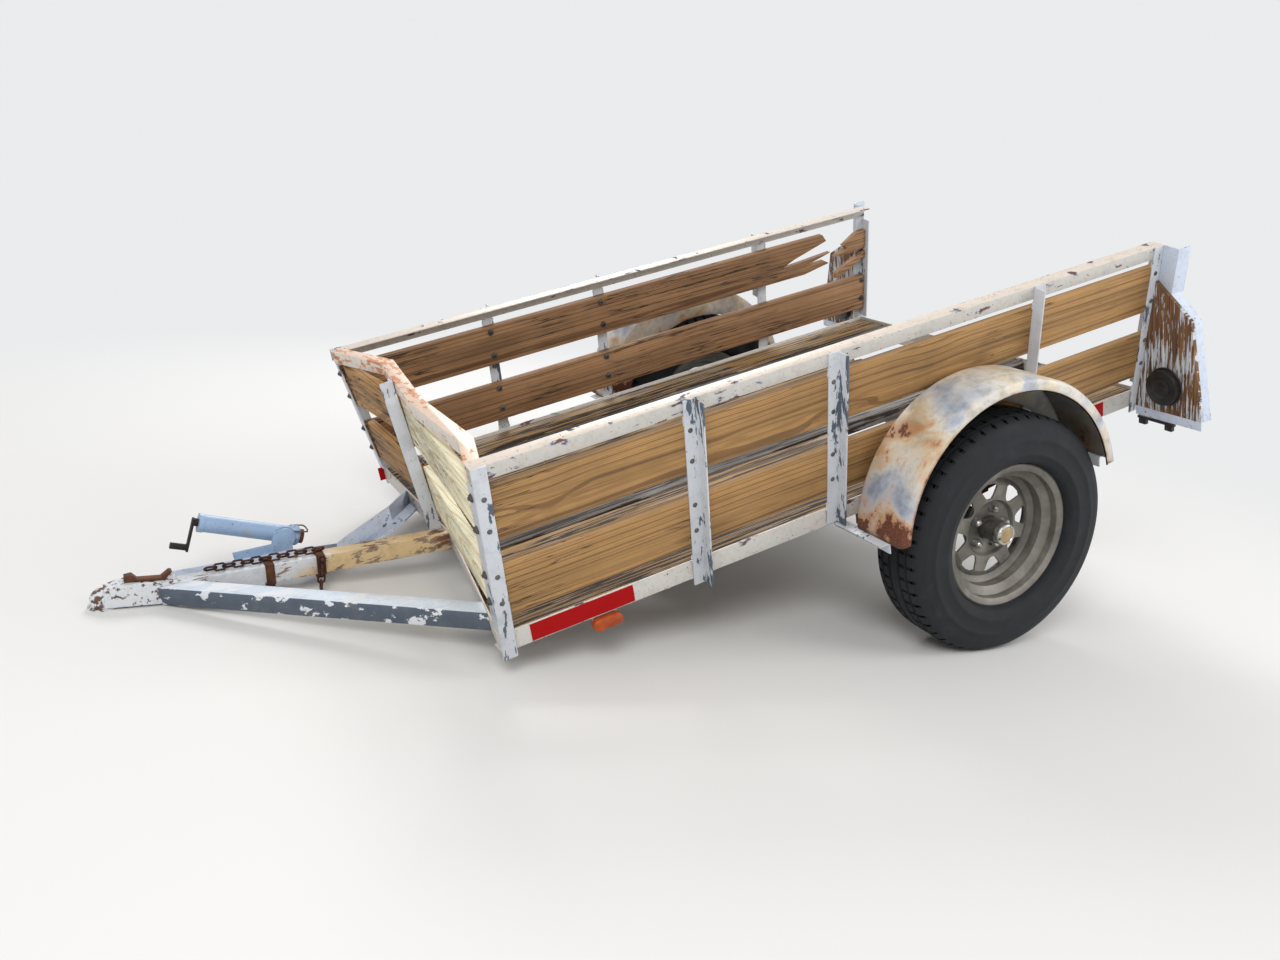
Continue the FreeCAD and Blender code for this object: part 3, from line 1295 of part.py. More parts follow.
def check_and_write(pieces):
    """Stop on a failed feature or a bad solid, then write each piece."""
    for thing in doc.Objects:
        if "Invalid" in thing.State or "Error" in thing.State:
            raise ValueError("%s failed: %s" % (thing.Name, thing.State))
    for piece, place in pieces:
        shape = piece.Shape
        if shape.isNull() or not shape.isValid() or not shape.Solids:
            raise ValueError("%s has no valid solid" % piece.Label)
    os.makedirs("parts", exist_ok=True)
    for piece, place in pieces:
        piece.Shape.exportStep("parts/%s.step" % piece.Label)


stance = stand(PIECES)
check_and_write(PIECES)
print("pieces", len(PIECES), "pitch", round(math.degrees(pitch), 3))
print("stance", stance.Base, "coupler ball", stance.multVec(ball), "axle", stance.multVec(axle))
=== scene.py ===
"""Worn utility trailer: peeling paint, weathered boards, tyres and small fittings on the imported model."""
import json
import math
import random
import bmesh
import bpy
from bpy.props import FloatProperty, FloatVectorProperty, IntProperty, PointerProperty
from mathutils import Matrix, Vector


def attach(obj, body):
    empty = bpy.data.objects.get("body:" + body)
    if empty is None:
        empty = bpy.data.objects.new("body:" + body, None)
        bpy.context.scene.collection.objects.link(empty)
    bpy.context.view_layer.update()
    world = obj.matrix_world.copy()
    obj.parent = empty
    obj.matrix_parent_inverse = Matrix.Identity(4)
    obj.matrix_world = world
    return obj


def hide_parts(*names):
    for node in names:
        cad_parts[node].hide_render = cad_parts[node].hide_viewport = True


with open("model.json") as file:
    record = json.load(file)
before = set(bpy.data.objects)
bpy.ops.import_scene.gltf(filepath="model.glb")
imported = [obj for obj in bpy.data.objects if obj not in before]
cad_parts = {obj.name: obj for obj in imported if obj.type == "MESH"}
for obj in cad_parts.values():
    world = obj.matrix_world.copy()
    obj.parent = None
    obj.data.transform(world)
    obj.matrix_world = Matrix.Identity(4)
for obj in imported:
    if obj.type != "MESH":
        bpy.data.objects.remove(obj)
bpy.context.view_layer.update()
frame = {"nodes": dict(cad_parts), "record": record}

bl_info = {
    "name": "Worn Utility Trailer",
    "version": (1, 0, 0),
    "blender": (4, 5, 0),
    "location": "3D View > Sidebar > Trailer",
    "description": "Dresses a packed utility trailer with worn paint, timber, tyres and fittings",
    "category": "Object",
}

NODES = frame["nodes"]
MM = 0.001
HALF_WIDTH = 686
RAIL = 51
LEG = 38
BOX_HEIGHT = 508
LEAN = math.atan2(80, BOX_HEIGHT)
# Places below are in millimetres in the trailer's own frame: X rearward from the front of the box,
# Y to its right, Z up from the rails' underside. BED pitches that frame onto coupler and tyres.
PITCH = -math.radians(16.101)
BED = Matrix.Translation((-0.597653, 0, 0.075864)) @ Matrix.Rotation(PITCH, 4, "Y")
AXLE = (1400, 0, -125)
WHEEL_OUT = 130
WHEEL_FACE = -10
STUD_CIRCLE = 57.15
VALVE = (157, 152, -22)
FENDER_FROM_AXLE = (-25, 117, 80)
FENDER_EDGE = 354.5
STAKES = (520, 942, 1633)
REAR_POST = 2096
BOARD_BOLTS = (146, 222, 348, 433)
TAPES = ((65, 349), (1929, 1985))
PANEL_FRONT = 2118.2
CLIP = 2125
JACK_PIVOT = (-347, 152)
JACK_SLOPE = math.radians(28)
FRONT_SHIFT = (-16, 84)
SHEET_ROUND = 0.0008
RIM_ROUND = 0.0016
CLIP_ROUND = 0.002
LAMP_ROUND = 0.003
SIDES = (("left", -1), ("right", 1))


def bed(x, y, z):
    """World place of a point of the trailer's frame."""
    return BED @ (Vector((x, y, z)) * MM)


def side_matrix(side):
    """World matrix of a leaning side in metres: X along, Y up the side, Z outward."""
    foot = HALF_WIDTH + (RAIL * math.tan(LEAN) if side > 0 else 0)
    up = Vector((0, -math.sin(LEAN), math.cos(LEAN)))
    out = Vector((0, math.cos(LEAN), math.sin(LEAN))) * side
    turn = Matrix((Vector((1, 0, 0)), up, out)).transposed().to_4x4()
    return BED @ Matrix.Translation((0, side * foot * MM, 0)) @ turn


def on_side(side, x, up, out):
    """World place of a point given along, up and outward from a leaning side, in millimetres."""
    return side_matrix(side) @ (Vector((x, up, out)) * MM)


def linear(code):
    """A linear colour from an sRGB hex value."""
    parts = [int(code[i:i + 2], 16) / 255 for i in (1, 3, 5)]
    return [p / 12.92 if p <= 0.04045 else ((p + 0.055) / 1.055) ** 2.4 for p in parts] + [1.0]


class TrailerSizes(bpy.types.PropertyGroup):
    """Sizes of the small pieces that are put on the trailer."""
    edge_round: FloatProperty(name="Edge rounding", description="Rounding of rolled steel edges",
                              default=0.0012, unit="LENGTH")
    board_round: FloatProperty(name="Board rounding", description="Worn edge of the side boards",
                               default=0.0025, unit="LENGTH")
    plank_round: FloatProperty(name="Plank rounding", description="Worn edge of the deck planks",
                               default=0.004, unit="LENGTH")
    bolt_head: FloatProperty(name="Bolt head", description="Radius of a carriage bolt's head",
                             default=0.0068, unit="LENGTH")
    lip_roll: FloatProperty(name="Fender lip", description="Half the width of the ring at a fender's edge",
                            default=0.0045, unit="LENGTH")
    groove_depth: FloatProperty(name="Groove depth", description="Depth of the tyre's tread grooves",
                                default=0.006, unit="LENGTH")
    tread_steps: IntProperty(name="Tread steps", description="Steps round a tyre", default=216)


class TrailerColours(bpy.types.PropertyGroup):
    """Main colours of the trailer's finishes."""
    paint: FloatVectorProperty(name="Paint", description="White paint on the steel", subtype="COLOR",
                               size=4, default=linear("#C6C3BD"))
    primer: FloatVectorProperty(name="Primer", description="Slate blue under the white paint",
                                subtype="COLOR", size=4, default=linear("#6A7488"))
    rust: FloatVectorProperty(name="Rust", description="Rust on bare steel", subtype="COLOR",
                              size=4, default=linear("#6B3A22"))
    pine: FloatVectorProperty(name="Pine", description="Early wood of the near boards",
                              subtype="COLOR", size=4, default=linear("#AC8451"))
    tape: FloatVectorProperty(name="Tape", description="Red reflective tape", subtype="COLOR",
                              size=4, default=linear("#A80409"))


def add(tree, kind, inputs=None, stops=None, **settings):
    """Add one node with its settings; a socket given to an input is linked, a hex value made a colour."""
    node = tree.nodes.new("ShaderNode" + kind)
    for key, value in settings.items():
        setattr(node, key, value)
    if stops:
        elements = node.color_ramp.elements
        while len(elements) < len(stops):
            elements.new(0.5)
        for element, (place, colour) in zip(elements, stops):
            element.position = place
            element.color = linear(colour) if isinstance(colour, str) else [colour] * 3 + [1]
    for key, value in (inputs or {}).items():
        if isinstance(value, bpy.types.NodeSocket):
            tree.links.new(value, node.inputs[key])
        else:
            node.inputs[key].default_value = linear(value) if isinstance(value, str) else value
    return node


def ramp(tree, value, *stops):
    """A value through stops of (place, colour or grey)."""
    return add(tree, "ValToRGB", {0: value}, stops=stops).outputs[0]


def span(tree, value, low, high, start=0.0, end=1.0):
    """A value from low to high, mapped to start to end and held there."""
    return add(tree, "MapRange", {0: value, 1: low, 2: high, 3: start, 4: end}).outputs[0]


def maths(tree, operation, first, second):
    """One sum on two values."""
    return add(tree, "Math", {0: first, 1: second}, operation=operation).outputs[0]


def mix(tree, share, first, second, kind="MIX"):
    """Two colours mixed by a share."""
    return add(tree, "Mix", {0: share, 6: first, 7: second}, data_type="RGBA", blend_type=kind).outputs[2]


def noise(tree, vector, scale, detail, rough=0.5):
    """Fractal noise at a place; the scale is in waves to the metre."""
    return add(tree, "TexNoise", {"Vector": vector, "Scale": scale, "Detail": detail,
                                  "Roughness": rough}).outputs["Fac"]


def new_finish(name, layer=None):
    """An empty material; returns it, its tree, and the place on the piece or a layer of its mesh."""
    finish = bpy.data.materials.new(name)
    finish.use_nodes = True
    tree = finish.node_tree
    tree.nodes.clear()
    if layer:
        return finish, tree, add(tree, "Attribute", attribute_name=layer).outputs["Vector"]
    return finish, tree, add(tree, "TexCoord").outputs["Object"]


def close_finish(tree, colour, rough, height, strength, depth, more=None):
    """Give a tree its relief, with a depth in metres, its one shader and its output."""
    bump = add(tree, "Bump", {"Strength": strength, "Distance": depth, "Height": height})
    shader = add(tree, "BsdfPrincipled", {"Base Color": colour, "Roughness": rough,
                                          "Normal": bump.outputs[0], **(more or {})})
    add(tree, "OutputMaterial", {"Surface": shader.outputs[0]})


def enamel_on_steel(name, paint, primer, rust, peel, bare, run=(1.0, 1.0, 1.0), top=None, fade=None,
                    dirt=0.35, specks=0.5):
    """Brushed enamel over primer on hot-rolled steel: flakes start at edges, specks of 3 mm lie all over.

    peel and bare are the shares that show primer and rust; run draws the flakes out along the trailer's
    own axes; top is painted light, a colour laid on faces that look up for the light that falls on them;
    fade is a second colour rearward of a place.
    """
    finish, tree, place = new_finish(name)
    drawn = add(tree, "Mapping", {"Vector": place, "Rotation": (0.0, PITCH, 0.0), "Scale": run},
                vector_type="TEXTURE")
    flakes = noise(tree, drawn.outputs[0], 60.0, 7.0, 0.62)
    patches = noise(tree, place, 5.0, 4.0, 0.55)
    grime = noise(tree, place, 19.0, 8.0, 0.7)
    dots = noise(tree, place, 170.0, 3.0, 0.55)
    edge = add(tree, "Bevel", {"Radius": 0.003}, samples=4)
    flat = add(tree, "NewGeometry")
    facing = add(tree, "VectorMath", {0: edge.outputs[0], 1: flat.outputs["Normal"]},
                 operation="DOT_PRODUCT")
    rim = span(tree, facing.outputs["Value"], 1.0, 0.8, 0.0, 0.06)
    # More chips towards the first two stakes' inner corner: wear, and painted shade of that corner.
    wear = add(tree, "Attribute", attribute_name="wear").outputs["Fac"]
    corner_rub_and_shade = maths(tree, "MULTIPLY", wear, 0.13)
    worn = maths(tree, "ADD", flakes, rim)
    worn = maths(tree, "ADD", worn, corner_rub_and_shade)
    broad = span(tree, patches, 0.35, 0.68, -0.12, 0.1)
    worn = maths(tree, "ADD", worn, broad)
    start = 0.74 - 0.3 * peel
    chip = ramp(tree, worn, (start, 0.0), (start + 0.01, 1.0))
    spot = ramp(tree, dots, (0.76 - 0.1 * specks, 0.0), (0.775 - 0.1 * specks, 1.0))
    chip = maths(tree, "MAXIMUM", chip, spot)
    deep = 0.84 - 0.3 * bare
    hole = ramp(tree, worn, (deep, 0.0), (deep + 0.03, 1.0))
    hole = maths(tree, "MAXIMUM", hole, spot)
    colour = paint
    if fade:
        along = add(tree, "SeparateXYZ", {0: place}).outputs[0]
        ragged = maths(tree, "MULTIPLY", patches, 0.5)
        along = maths(tree, "ADD", along, ragged)
        behind = span(tree, along, fade[0] + 0.23, fade[0] + 0.3)
        colour = mix(tree, behind, colour, fade[1])
    # Painted light: faces that look up take the top colour, for the light that falls on them.
    if top:
        upward = add(tree, "SeparateXYZ", {0: flat.outputs["Normal"]}).outputs[2]
        painted_light_on_top = span(tree, upward, 0.55, 0.8)
        colour = mix(tree, painted_light_on_top, colour, top)
    tint = ramp(tree, grime, (0.3, 0.78), (0.5, 0.97), (0.7, 1.0))
    coat = mix(tree, 1.0, colour, tint, "MULTIPLY")
    film = ramp(tree, grime, (0.53, 0.0), (0.75, dirt))
    coat = mix(tree, film, coat, "#A08C74")
    scale = ramp(tree, grime, (0.32, "#33211A"), (0.48, "#5E3A28"), (0.62, "#84553A"), (0.8, "#4B2C1F"))
    metal = mix(tree, 0.35, scale, rust)
    under = mix(tree, hole, primer, metal)
    colour = mix(tree, chip, coat, under)
    level = maths(tree, "ADD", chip, hole)
    height = maths(tree, "MULTIPLY", level, -0.5)
    brush = maths(tree, "MULTIPLY", grime, 0.8)
    height = maths(tree, "ADD", height, brush)
    gloss = span(tree, level, 0.0, 2.0, 0.42, 0.85)
    close_finish(tree, colour, gloss, height, 0.55, 0.0008)
    return finish


def rusted_steel(name, low, middle, high, grit=240.0):
    """Bare hot-rolled steel left outdoors: even brown rust with darker scale, quite matt."""
    finish, tree, place = new_finish(name)
    clouds = noise(tree, place, 24.0, 9.0, 0.72)
    grains = noise(tree, place, grit, 4.0)
    colour = ramp(tree, clouds, (0.32, low), (0.5, middle), (0.68, high))
    height = maths(tree, "ADD", clouds, grains)
    rough = span(tree, clouds, 0.3, 0.7, 0.6, 0.95)
    close_finish(tree, colour, rough, height, 0.5, 0.001, {"Metallic": 0.25})
    return finish


def weathered_timber(name, early, late, grey, grey_share, crack_share, ring=0.013, other=None,
                     knot="#4A3220"):
    """Flat-sawn softwood left outdoors: narrow dark growth lines in long arches over a tan ground, a few
    knots, splits along the grain and grey fibre where the sun took the colour out. Each board differs
    a little, and some take the other colour."""
    finish, tree, grain = new_finish(name, "grain")
    tone = add(tree, "Attribute", attribute_name="tone").outputs["Fac"]
    flat = add(tree, "Mapping", {"Vector": grain, "Scale": (2.1, 4.4, 0.0)})
    knots = add(tree, "TexVoronoi", {"Vector": flat.outputs[0], "Scale": 1.0, "Randomness": 1.0})
    pull = add(tree, "MapRange", {0: knots.outputs["Distance"], 1: 0.02, 2: 0.34, 3: 4.5, 4: 0.0},
               interpolation_type="SMOOTHSTEP")
    slow = add(tree, "Mapping", {"Vector": grain, "Scale": (0.05, 1.0, 1.0)})
    rings = add(tree, "TexWave", {"Vector": slow.outputs[0], "Scale": 0.314 / ring, "Distortion": 4.2,
                                  "Detail": 2.5, "Detail Scale": 0.7, "Phase Offset": pull.outputs[0]},
                wave_type="RINGS", rings_direction="X")
    fine = add(tree, "TexWave", {"Vector": slow.outputs[0], "Scale": 1.1 / ring, "Distortion": 9.0,
                                 "Detail": 2.0, "Detail Scale": 0.4, "Phase Offset": pull.outputs[0]},
               wave_type="RINGS", rings_direction="X")
    long = add(tree, "Mapping", {"Vector": grain, "Scale": (9.0, 700.0, 700.0)})
    fibre = noise(tree, long.outputs[0], 1.0, 5.0, 0.65)
    split = add(tree, "Mapping", {"Vector": grain, "Scale": (1.6, 58.0, 30.0)})
    cracks = noise(tree, split.outputs[0], 1.0, 4.0, 0.55)
    near = 0.5 - 0.011 * crack_share
    crack = ramp(tree, cracks, (near - 0.004, 0.0), (near, 1.0), (1 - near, 1.0), (1.004 - near, 0.0))
    here = noise(tree, grain, 2.6, 3.0)
    only = ramp(tree, here, (0.62 - 0.2 * crack_share, 0.0), (0.68 - 0.2 * crack_share, 1.0))
    crack = maths(tree, "MULTIPLY", crack, only)
    broad = noise(tree, grain, 4.2, 5.0, 0.6)
    late_line = ramp(tree, rings.outputs["Fac"], (0.86, 0.0), (0.95, 0.74), (1.0, 0.7))
    thin_line = ramp(tree, fine.outputs["Fac"], (0.72, 0.0), (0.96, 0.4))
    band = maths(tree, "MAXIMUM", late_line, thin_line)
    ground = early
    if other:
        picked = ramp(tree, tone, (0.58, 0.0), (0.62, 1.0))
        ground = mix(tree, picked, early, other)
    wood = mix(tree, band, ground, late)
    drift = add(tree, "Mapping", {"Vector": grain, "Scale": (1.1, 38.0, 20.0)})
    streak = noise(tree, drift.outputs[0], 1.0, 4.0, 0.6)
    streak = ramp(tree, streak, (0.34, 0.72), (0.5, 0.98), (0.64, 1.16))
    wood = mix(tree, 1.0, wood, streak, "MULTIPLY")
    shade = ramp(tree, fibre, (0.28, 0.6), (0.5, 0.93), (0.7, 1.0))
    wood = mix(tree, 0.75, wood, shade, "MULTIPLY")
    cloud = ramp(tree, broad, (0.34, 0.8), (0.6, 1.04))
    wood = mix(tree, 1.0, wood, cloud, "MULTIPLY")
    mixed = maths(tree, "MULTIPLY", broad, fibre)
    edge = 0.42 - 0.34 * grey_share
    old = ramp(tree, mixed, (edge, 0.0), (edge + 0.2, 1.0))
    ash = mix(tree, 0.85, grey, shade, "MULTIPLY")
    wood = mix(tree, old, wood, ash)
    heart = ramp(tree, knots.outputs["Distance"], (0.035, 0.85), (0.075, 0.0))
    wood = mix(tree, heart, wood, knot)
    wood = mix(tree, crack, wood, "#2A1D14")
    raised = maths(tree, "MULTIPLY", band, 0.35)
    raised = maths(tree, "ADD", fibre, raised)
    sunk = maths(tree, "MULTIPLY", crack, -2.2)
    height = maths(tree, "ADD", raised, sunk)
    rough = span(tree, fibre, 0.3, 0.7, 0.62, 0.88)
    close_finish(tree, wood, rough, height, 0.6, 0.0012)
    return finish


def fender_enamel(name, rust):
    """Enamel on rolled sheet in smooth cloudy fields of cream and slate blue, partly the enamel's own
    colours and partly painted sunlit patches and painted shade; rust eats it from the lower ends and the
    lip, first orange, then maroon with a grain of about 2 mm."""
    finish, tree, place = new_finish(name)
    fields = add(tree, "TexNoise", {"Vector": place, "Scale": 5.5, "Detail": 3.0, "Roughness": 0.5,
                                    "Distortion": 0.6})
    fine = noise(tree, place, 26.0, 8.0, 0.68)
    grit = noise(tree, place, 420.0, 3.0, 0.7)
    # The cream and slate-blue fields are partly the enamel's colour, partly painted sunlight and painted
    # shade.
    paint = ramp(tree, fields.outputs["Fac"], (0.33, "#9FA8B8"), (0.42, "#BFC0C2"), (0.49, "#D8D2C6"),
                 (0.58, "#DCCDB0"), (0.68, "#B8A084"))
    smear = ramp(tree, fine, (0.34, 0.66), (0.56, 1.0))
    paint = mix(tree, 1.0, paint, smear, "MULTIPLY")
    height = add(tree, "SeparateXYZ", {0: place}).outputs[2]
    low = span(tree, height, 0.78, 0.36, -0.07, 0.095)
    edge = add(tree, "Bevel", {"Radius": 0.009}, samples=4)
    flat = add(tree, "NewGeometry")
    facing = add(tree, "VectorMath", {0: edge.outputs[0], 1: flat.outputs["Normal"]},
                 operation="DOT_PRODUCT")
    lip = span(tree, facing.outputs["Value"], 1.0, 0.8, 0.0, 0.1)
    worn = maths(tree, "ADD", fields.outputs["Fac"], fine)
    worn = maths(tree, "MULTIPLY", worn, 0.5)
    worn = maths(tree, "ADD", worn, low)
    worn = maths(tree, "ADD", worn, lip)
    stain = ramp(tree, worn, (0.5, 0.0), (0.6, 0.85))
    colour = mix(tree, stain, paint, "#B07C4E")
    rusty = ramp(tree, worn, (0.6, 0.0), (0.63, 1.0))
    grains = ramp(tree, grit, (0.34, "#2B1815"), (0.48, "#59301F"), (0.62, "#7A4636"), (0.72, "#B49A8C"))
    metal = mix(tree, 0.25, grains, rust)
    colour = mix(tree, rusty, colour, metal)
    # Painted shade: faces that look down are darkened towards grey-brown.
    inside = add(tree, "VectorMath", {0: flat.outputs["Normal"], 1: (0.0, 0.0, -1.0)},
                 operation="DOT_PRODUCT")
    painted_shade_facing_down = span(tree, inside.outputs["Value"], 0.1, 0.5, 0.0, 0.75)
    colour = mix(tree, painted_shade_facing_down, colour, "#4A433E")
    level = maths(tree, "MULTIPLY", rusty, grit)
    level = maths(tree, "ADD", level, fine)
    rough = span(tree, rusty, 0.0, 1.0, 0.38, 0.9)
    close_finish(tree, colour, rough, level, 0.45, 0.0009)
    return finish


def peeling_plywood(name):
    """Plywood whose pale paint is left only in thin flakes 3 to 6 mm wide along the upright veneer."""
    finish, tree, grain = new_finish(name, "grain")
    strips = add(tree, "Mapping", {"Vector": grain, "Scale": (13.0, 170.0, 13.0)})
    flakes = noise(tree, strips.outputs[0], 1.0, 5.0, 0.6)
    where = noise(tree, grain, 9.0, 3.0)
    veneer = add(tree, "Mapping", {"Vector": grain, "Scale": (6.0, 260.0, 6.0)})
    fibre = noise(tree, veneer.outputs[0], 1.0, 4.0)
    wood = ramp(tree, fibre, (0.3, "#33231A"), (0.45, "#5C3F29"), (0.6, "#7C5837"), (0.74, "#9A7549"))
    paint = ramp(tree, fibre, (0.3, "#9096A2"), (0.6, "#D3D6DA"))
    spread = span(tree, where, 0.35, 0.65, -0.06, 0.08)
    left = maths(tree, "ADD", flakes, spread)
    left = ramp(tree, left, (0.545, 0.0), (0.56, 1.0))
    colour = mix(tree, left, wood, paint)
    height = maths(tree, "ADD", left, fibre)
    close_finish(tree, colour, 0.8, height, 0.6, 0.001)
    return finish


def dusty_rubber(name):
    """Vulcanised tyre rubber with pale road dust in its hollows: nearly black, with a dull sheen."""
    finish, tree, place = new_finish(name)
    dust = noise(tree, place, 9.0, 8.0, 0.7)
    fine = noise(tree, place, 300.0, 3.0)
    colour = ramp(tree, dust, (0.3, "#0A0D11"), (0.52, "#12161B"), (0.75, "#2C3036"))
    rough = span(tree, dust, 0.3, 0.7, 0.68, 0.95)
    close_finish(tree, colour, rough, fine, 0.35, 0.0006)
    return finish


def wheel_lacquer(name):
    """Silver wheel lacquer on pressed steel, dulled to taupe by dust and darker towards the pressed
    corners, with a few rust freckles."""
    finish, tree, place = new_finish(name)
    dust = noise(tree, place, 11.0, 8.0, 0.66)
    dots = noise(tree, place, 140.0, 4.0, 0.7)
    silver = ramp(tree, dust, (0.3, "#5A5750"), (0.5, "#75716A"), (0.7, "#918D85"))
    # Occlusion darkens the pressed corners towards a dark grey-brown.
    hollow = add(tree, "AmbientOcclusion", {"Distance": 0.03}, samples=4)
    darker_in_corners = span(tree, hollow.outputs["AO"], 0.9, 0.4, 0.0, 0.6)
    colour = mix(tree, darker_in_corners, silver, "#33302C")
    freckle = ramp(tree, dots, (0.7, 0.0), (0.74, 0.8))
    colour = mix(tree, freckle, colour, "#5E4330")
    rough = span(tree, dust, 0.3, 0.7, 0.36, 0.6)
    close_finish(tree, colour, rough, dots, 0.15, 0.0004, {"Metallic": 0.45})
    return finish


def plated_steel(name, light, rough):
    """Plated or ground steel parts of the hub: bright, with a thin brown film of dust and grease."""
    finish, tree, place = new_finish(name)
    film = noise(tree, place, 60.0, 7.0, 0.7)
    colour = ramp(tree, film, (0.36, "#4A4039"), (0.5, light))
    dull = span(tree, film, 0.55, 0.35, rough, 0.75)
    close_finish(tree, colour, dull, film, 0.2, 0.0003, {"Metallic": 0.85})
    return finish


def reflective_tape(name, red):
    """Prismatic reflective tape: clear red film over 3 mm cells, scuffed."""
    finish, tree, place = new_finish(name)
    cells = add(tree, "TexVoronoi", {"Vector": place, "Scale": 330.0})
    scuff = noise(tree, place, 60.0, 6.0, 0.7)
    tone = ramp(tree, cells.outputs["Distance"], (0.0, 1.0), (0.9, 0.75))
    film = mix(tree, 1.0, red, tone, "MULTIPLY")
    rub = ramp(tree, scuff, (0.62, 0.0), (0.72, 0.7))
    colour = mix(tree, rub, film, "#6E1512")
    close_finish(tree, colour, 0.5, cells.outputs["Distance"], 0.15, 0.0003, {"Specular IOR Level": 0.15})
    return finish


def moulded_plastic(name, dark, light, rough, through=0.0):
    """Moulded lamp plastic with a film of dust; through lets light into a lens."""
    finish, tree, place = new_finish(name)
    dust = noise(tree, place, 45.0, 6.0, 0.65)
    colour = ramp(tree, dust, (0.35, dark), (0.7, light))
    close_finish(tree, colour, rough, dust, 0.12, 0.0004, {"Subsurface Weight": through})
    return finish


FINISH = {}


def make_finishes():
    """Make the finishes once, from the trailer's colours."""
    colours = bpy.context.scene.trailer_colours
    paint, primer, rust = list(colours.paint), list(colours.primer), list(colours.rust)
    slate = "#4F5A68"
    FINISH["rail"] = enamel_on_steel("brushed_white_enamel", paint, primer, rust, 0.38, 0.62, (3, 3, 1),
                                     "#DACCBE", dirt=0.6, specks=0.85)
    # The stakes' white is a copy of the enamel tinted blue-grey as painted shade.
    FINISH["stake"] = enamel_on_steel("streaked_white_enamel_painted_blue_shade", "#C8CCD2", slate, rust, 0.34, 0.16,
                                      (1, 1, 5), dirt=0.2, specks=0.7)
    FINISH["salmon"] = enamel_on_steel("sun_faded_salmon_enamel", "#E3D8CC", "#C8875F", rust, 0.66, 0.5,
                                       (1, 3, 1), "#DFC2AA", dirt=0.6)
    FINISH["tongue"] = enamel_on_steel("two_coat_tongue_enamel", "#D5D8DD", "#8E7A68", rust, 0.58, 0.68,
                                       (3, 1, 1), fade=(-0.95, "#D8BC8E"), dirt=0.75)
    # Left brace: the slate coat is painted shade on its sides and the white top colour is painted light;
    # white primer shows in the chips.
    FINISH["brace"] = enamel_on_steel("painted_shade_slate_sides_lit_white_top", slate, "#DADDE2", rust, 0.6, 0.05,
                                      (8, 2, 2), "#CDD8E4", dirt=0.25)
    FINISH["pale"] = enamel_on_steel("light_blue_white_enamel", "#C9D3E4", primer, rust, 0.2, 0.3, dirt=0.5,
                                     specks=0.8)
    FINISH["jack"] = enamel_on_steel("light_blue_jack_enamel", "#99B3D3", primer, rust, 0.24, 0.4, dirt=0.4,
                                     specks=0.9)
    FINISH["coupler"] = enamel_on_steel("heavily_peeled_enamel", "#D8DBDF", "#5B4A40", rust, 0.66, 0.72,
                                        dirt=0.55, specks=0.9)
    FINISH["fender"] = fender_enamel("clouded_fender_enamel", rust)
    FINISH["rusty"] = rusted_steel("rusted_bare_steel", "#2E1C15", "#5A3423", "#7E5238")
    FINISH["chain"] = rusted_steel("rusted_chain_steel", "#1E120D", "#43271A", "#6A4430", 500.0)
    FINISH["bolt"] = rusted_steel("dull_bolt_steel", "#3A3A3C", "#5A5753", "#77716A", 500.0)
    FINISH["black"] = rusted_steel("worn_black_enamel", "#161616", "#232221", "#4A3A2E", 500.0)
    FINISH["hub"] = plated_steel("ground_hub_steel", "#75726F", 0.4)
    FINISH["chrome"] = plated_steel("dusty_plated_steel", "#BDBBB6", 0.22)
    FINISH["pine"] = weathered_timber("weathered_pine_board", list(colours.pine), "#6E4E2E", "#A08A6A", 0.2,
                                      0.4)
    FINISH["old_pine"] = weathered_timber("old_brown_pine_board", "#A27A54", "#5C3E26", "#8C7862", 0.35,
                                          0.9)
    FINISH["deck"] = weathered_timber("grey_splintered_decking", "#7A736C", "#3A312A", "#A3A2A0", 0.55, 3.2,
                                      other="#BC9560")
    # Near-white left front boards: bleached wood, brightened further as painted sunlight.
    FINISH["front"] = weathered_timber("bleached_and_painted_sunlit_front_board", "#FFF8D8", "#DCC08C", "#FFF8DE", 0.45,
                                       0.9, 0.02)
    FINISH["tan_front"] = weathered_timber("tan_front_board", "#B58850", "#7E562F", "#BFA274", 0.25, 1.6,
                                           0.02)
    FINISH["ply"] = peeling_plywood("peeling_painted_plywood")
    FINISH["rubber"] = dusty_rubber("dusty_tyre_rubber")
    FINISH["wheel"] = wheel_lacquer("dusty_silver_wheel_lacquer")
    FINISH["tape"] = reflective_tape("red_reflective_tape", list(colours.tape))
    FINISH["lamp"] = moulded_plastic("black_lamp_moulding", "#0E0E0F", "#2E2C2A", 0.4)
    FINISH["amber"] = moulded_plastic("amber_lens_moulding", "#8F3202", "#B5520A", 0.4)
    FINISH["red_lens"] = moulded_plastic("dark_red_lens_moulding", "#2C0606", "#5B1210", 0.2, 0.1)
    FINISH["plug"] = moulded_plastic("dusty_tan_rubber_plug", "#8F7A5C", "#B89E76", 0.7)


def island_of(start):
    """All vertices joined to one vertex."""
    start.tag = True
    group = [start]
    for vert in group:
        for edge in vert.link_edges:
            other = edge.other_vert(vert)
            if not other.tag:
                other.tag = True
                group.append(other)
    return group


def mark_grain(bm, turn, seed):
    """Give each board its own grain coordinates in metres, along, across and through it, and a tone."""
    grain = bm.verts.layers.float_vector.new("grain")
    tone = bm.verts.layers.float.new("tone")
    chance = random.Random(seed)
    for vert in bm.verts:
        vert.tag = False
    for start in list(bm.verts):
        if start.tag:
            continue
        group = island_of(start)
        places = [turn @ vert.co for vert in group]
        middle = sum(places, Vector()) / len(places)
        shift = Vector((chance.uniform(0, 9), chance.uniform(-0.04, 0.04), chance.uniform(0.035, 0.1)))
        shade = chance.random()
        for vert, spot in zip(group, places):
            vert[grain] = Vector((spot.x, spot.y - middle.y, spot.z - middle.z)) + shift
            vert[tone] = shade


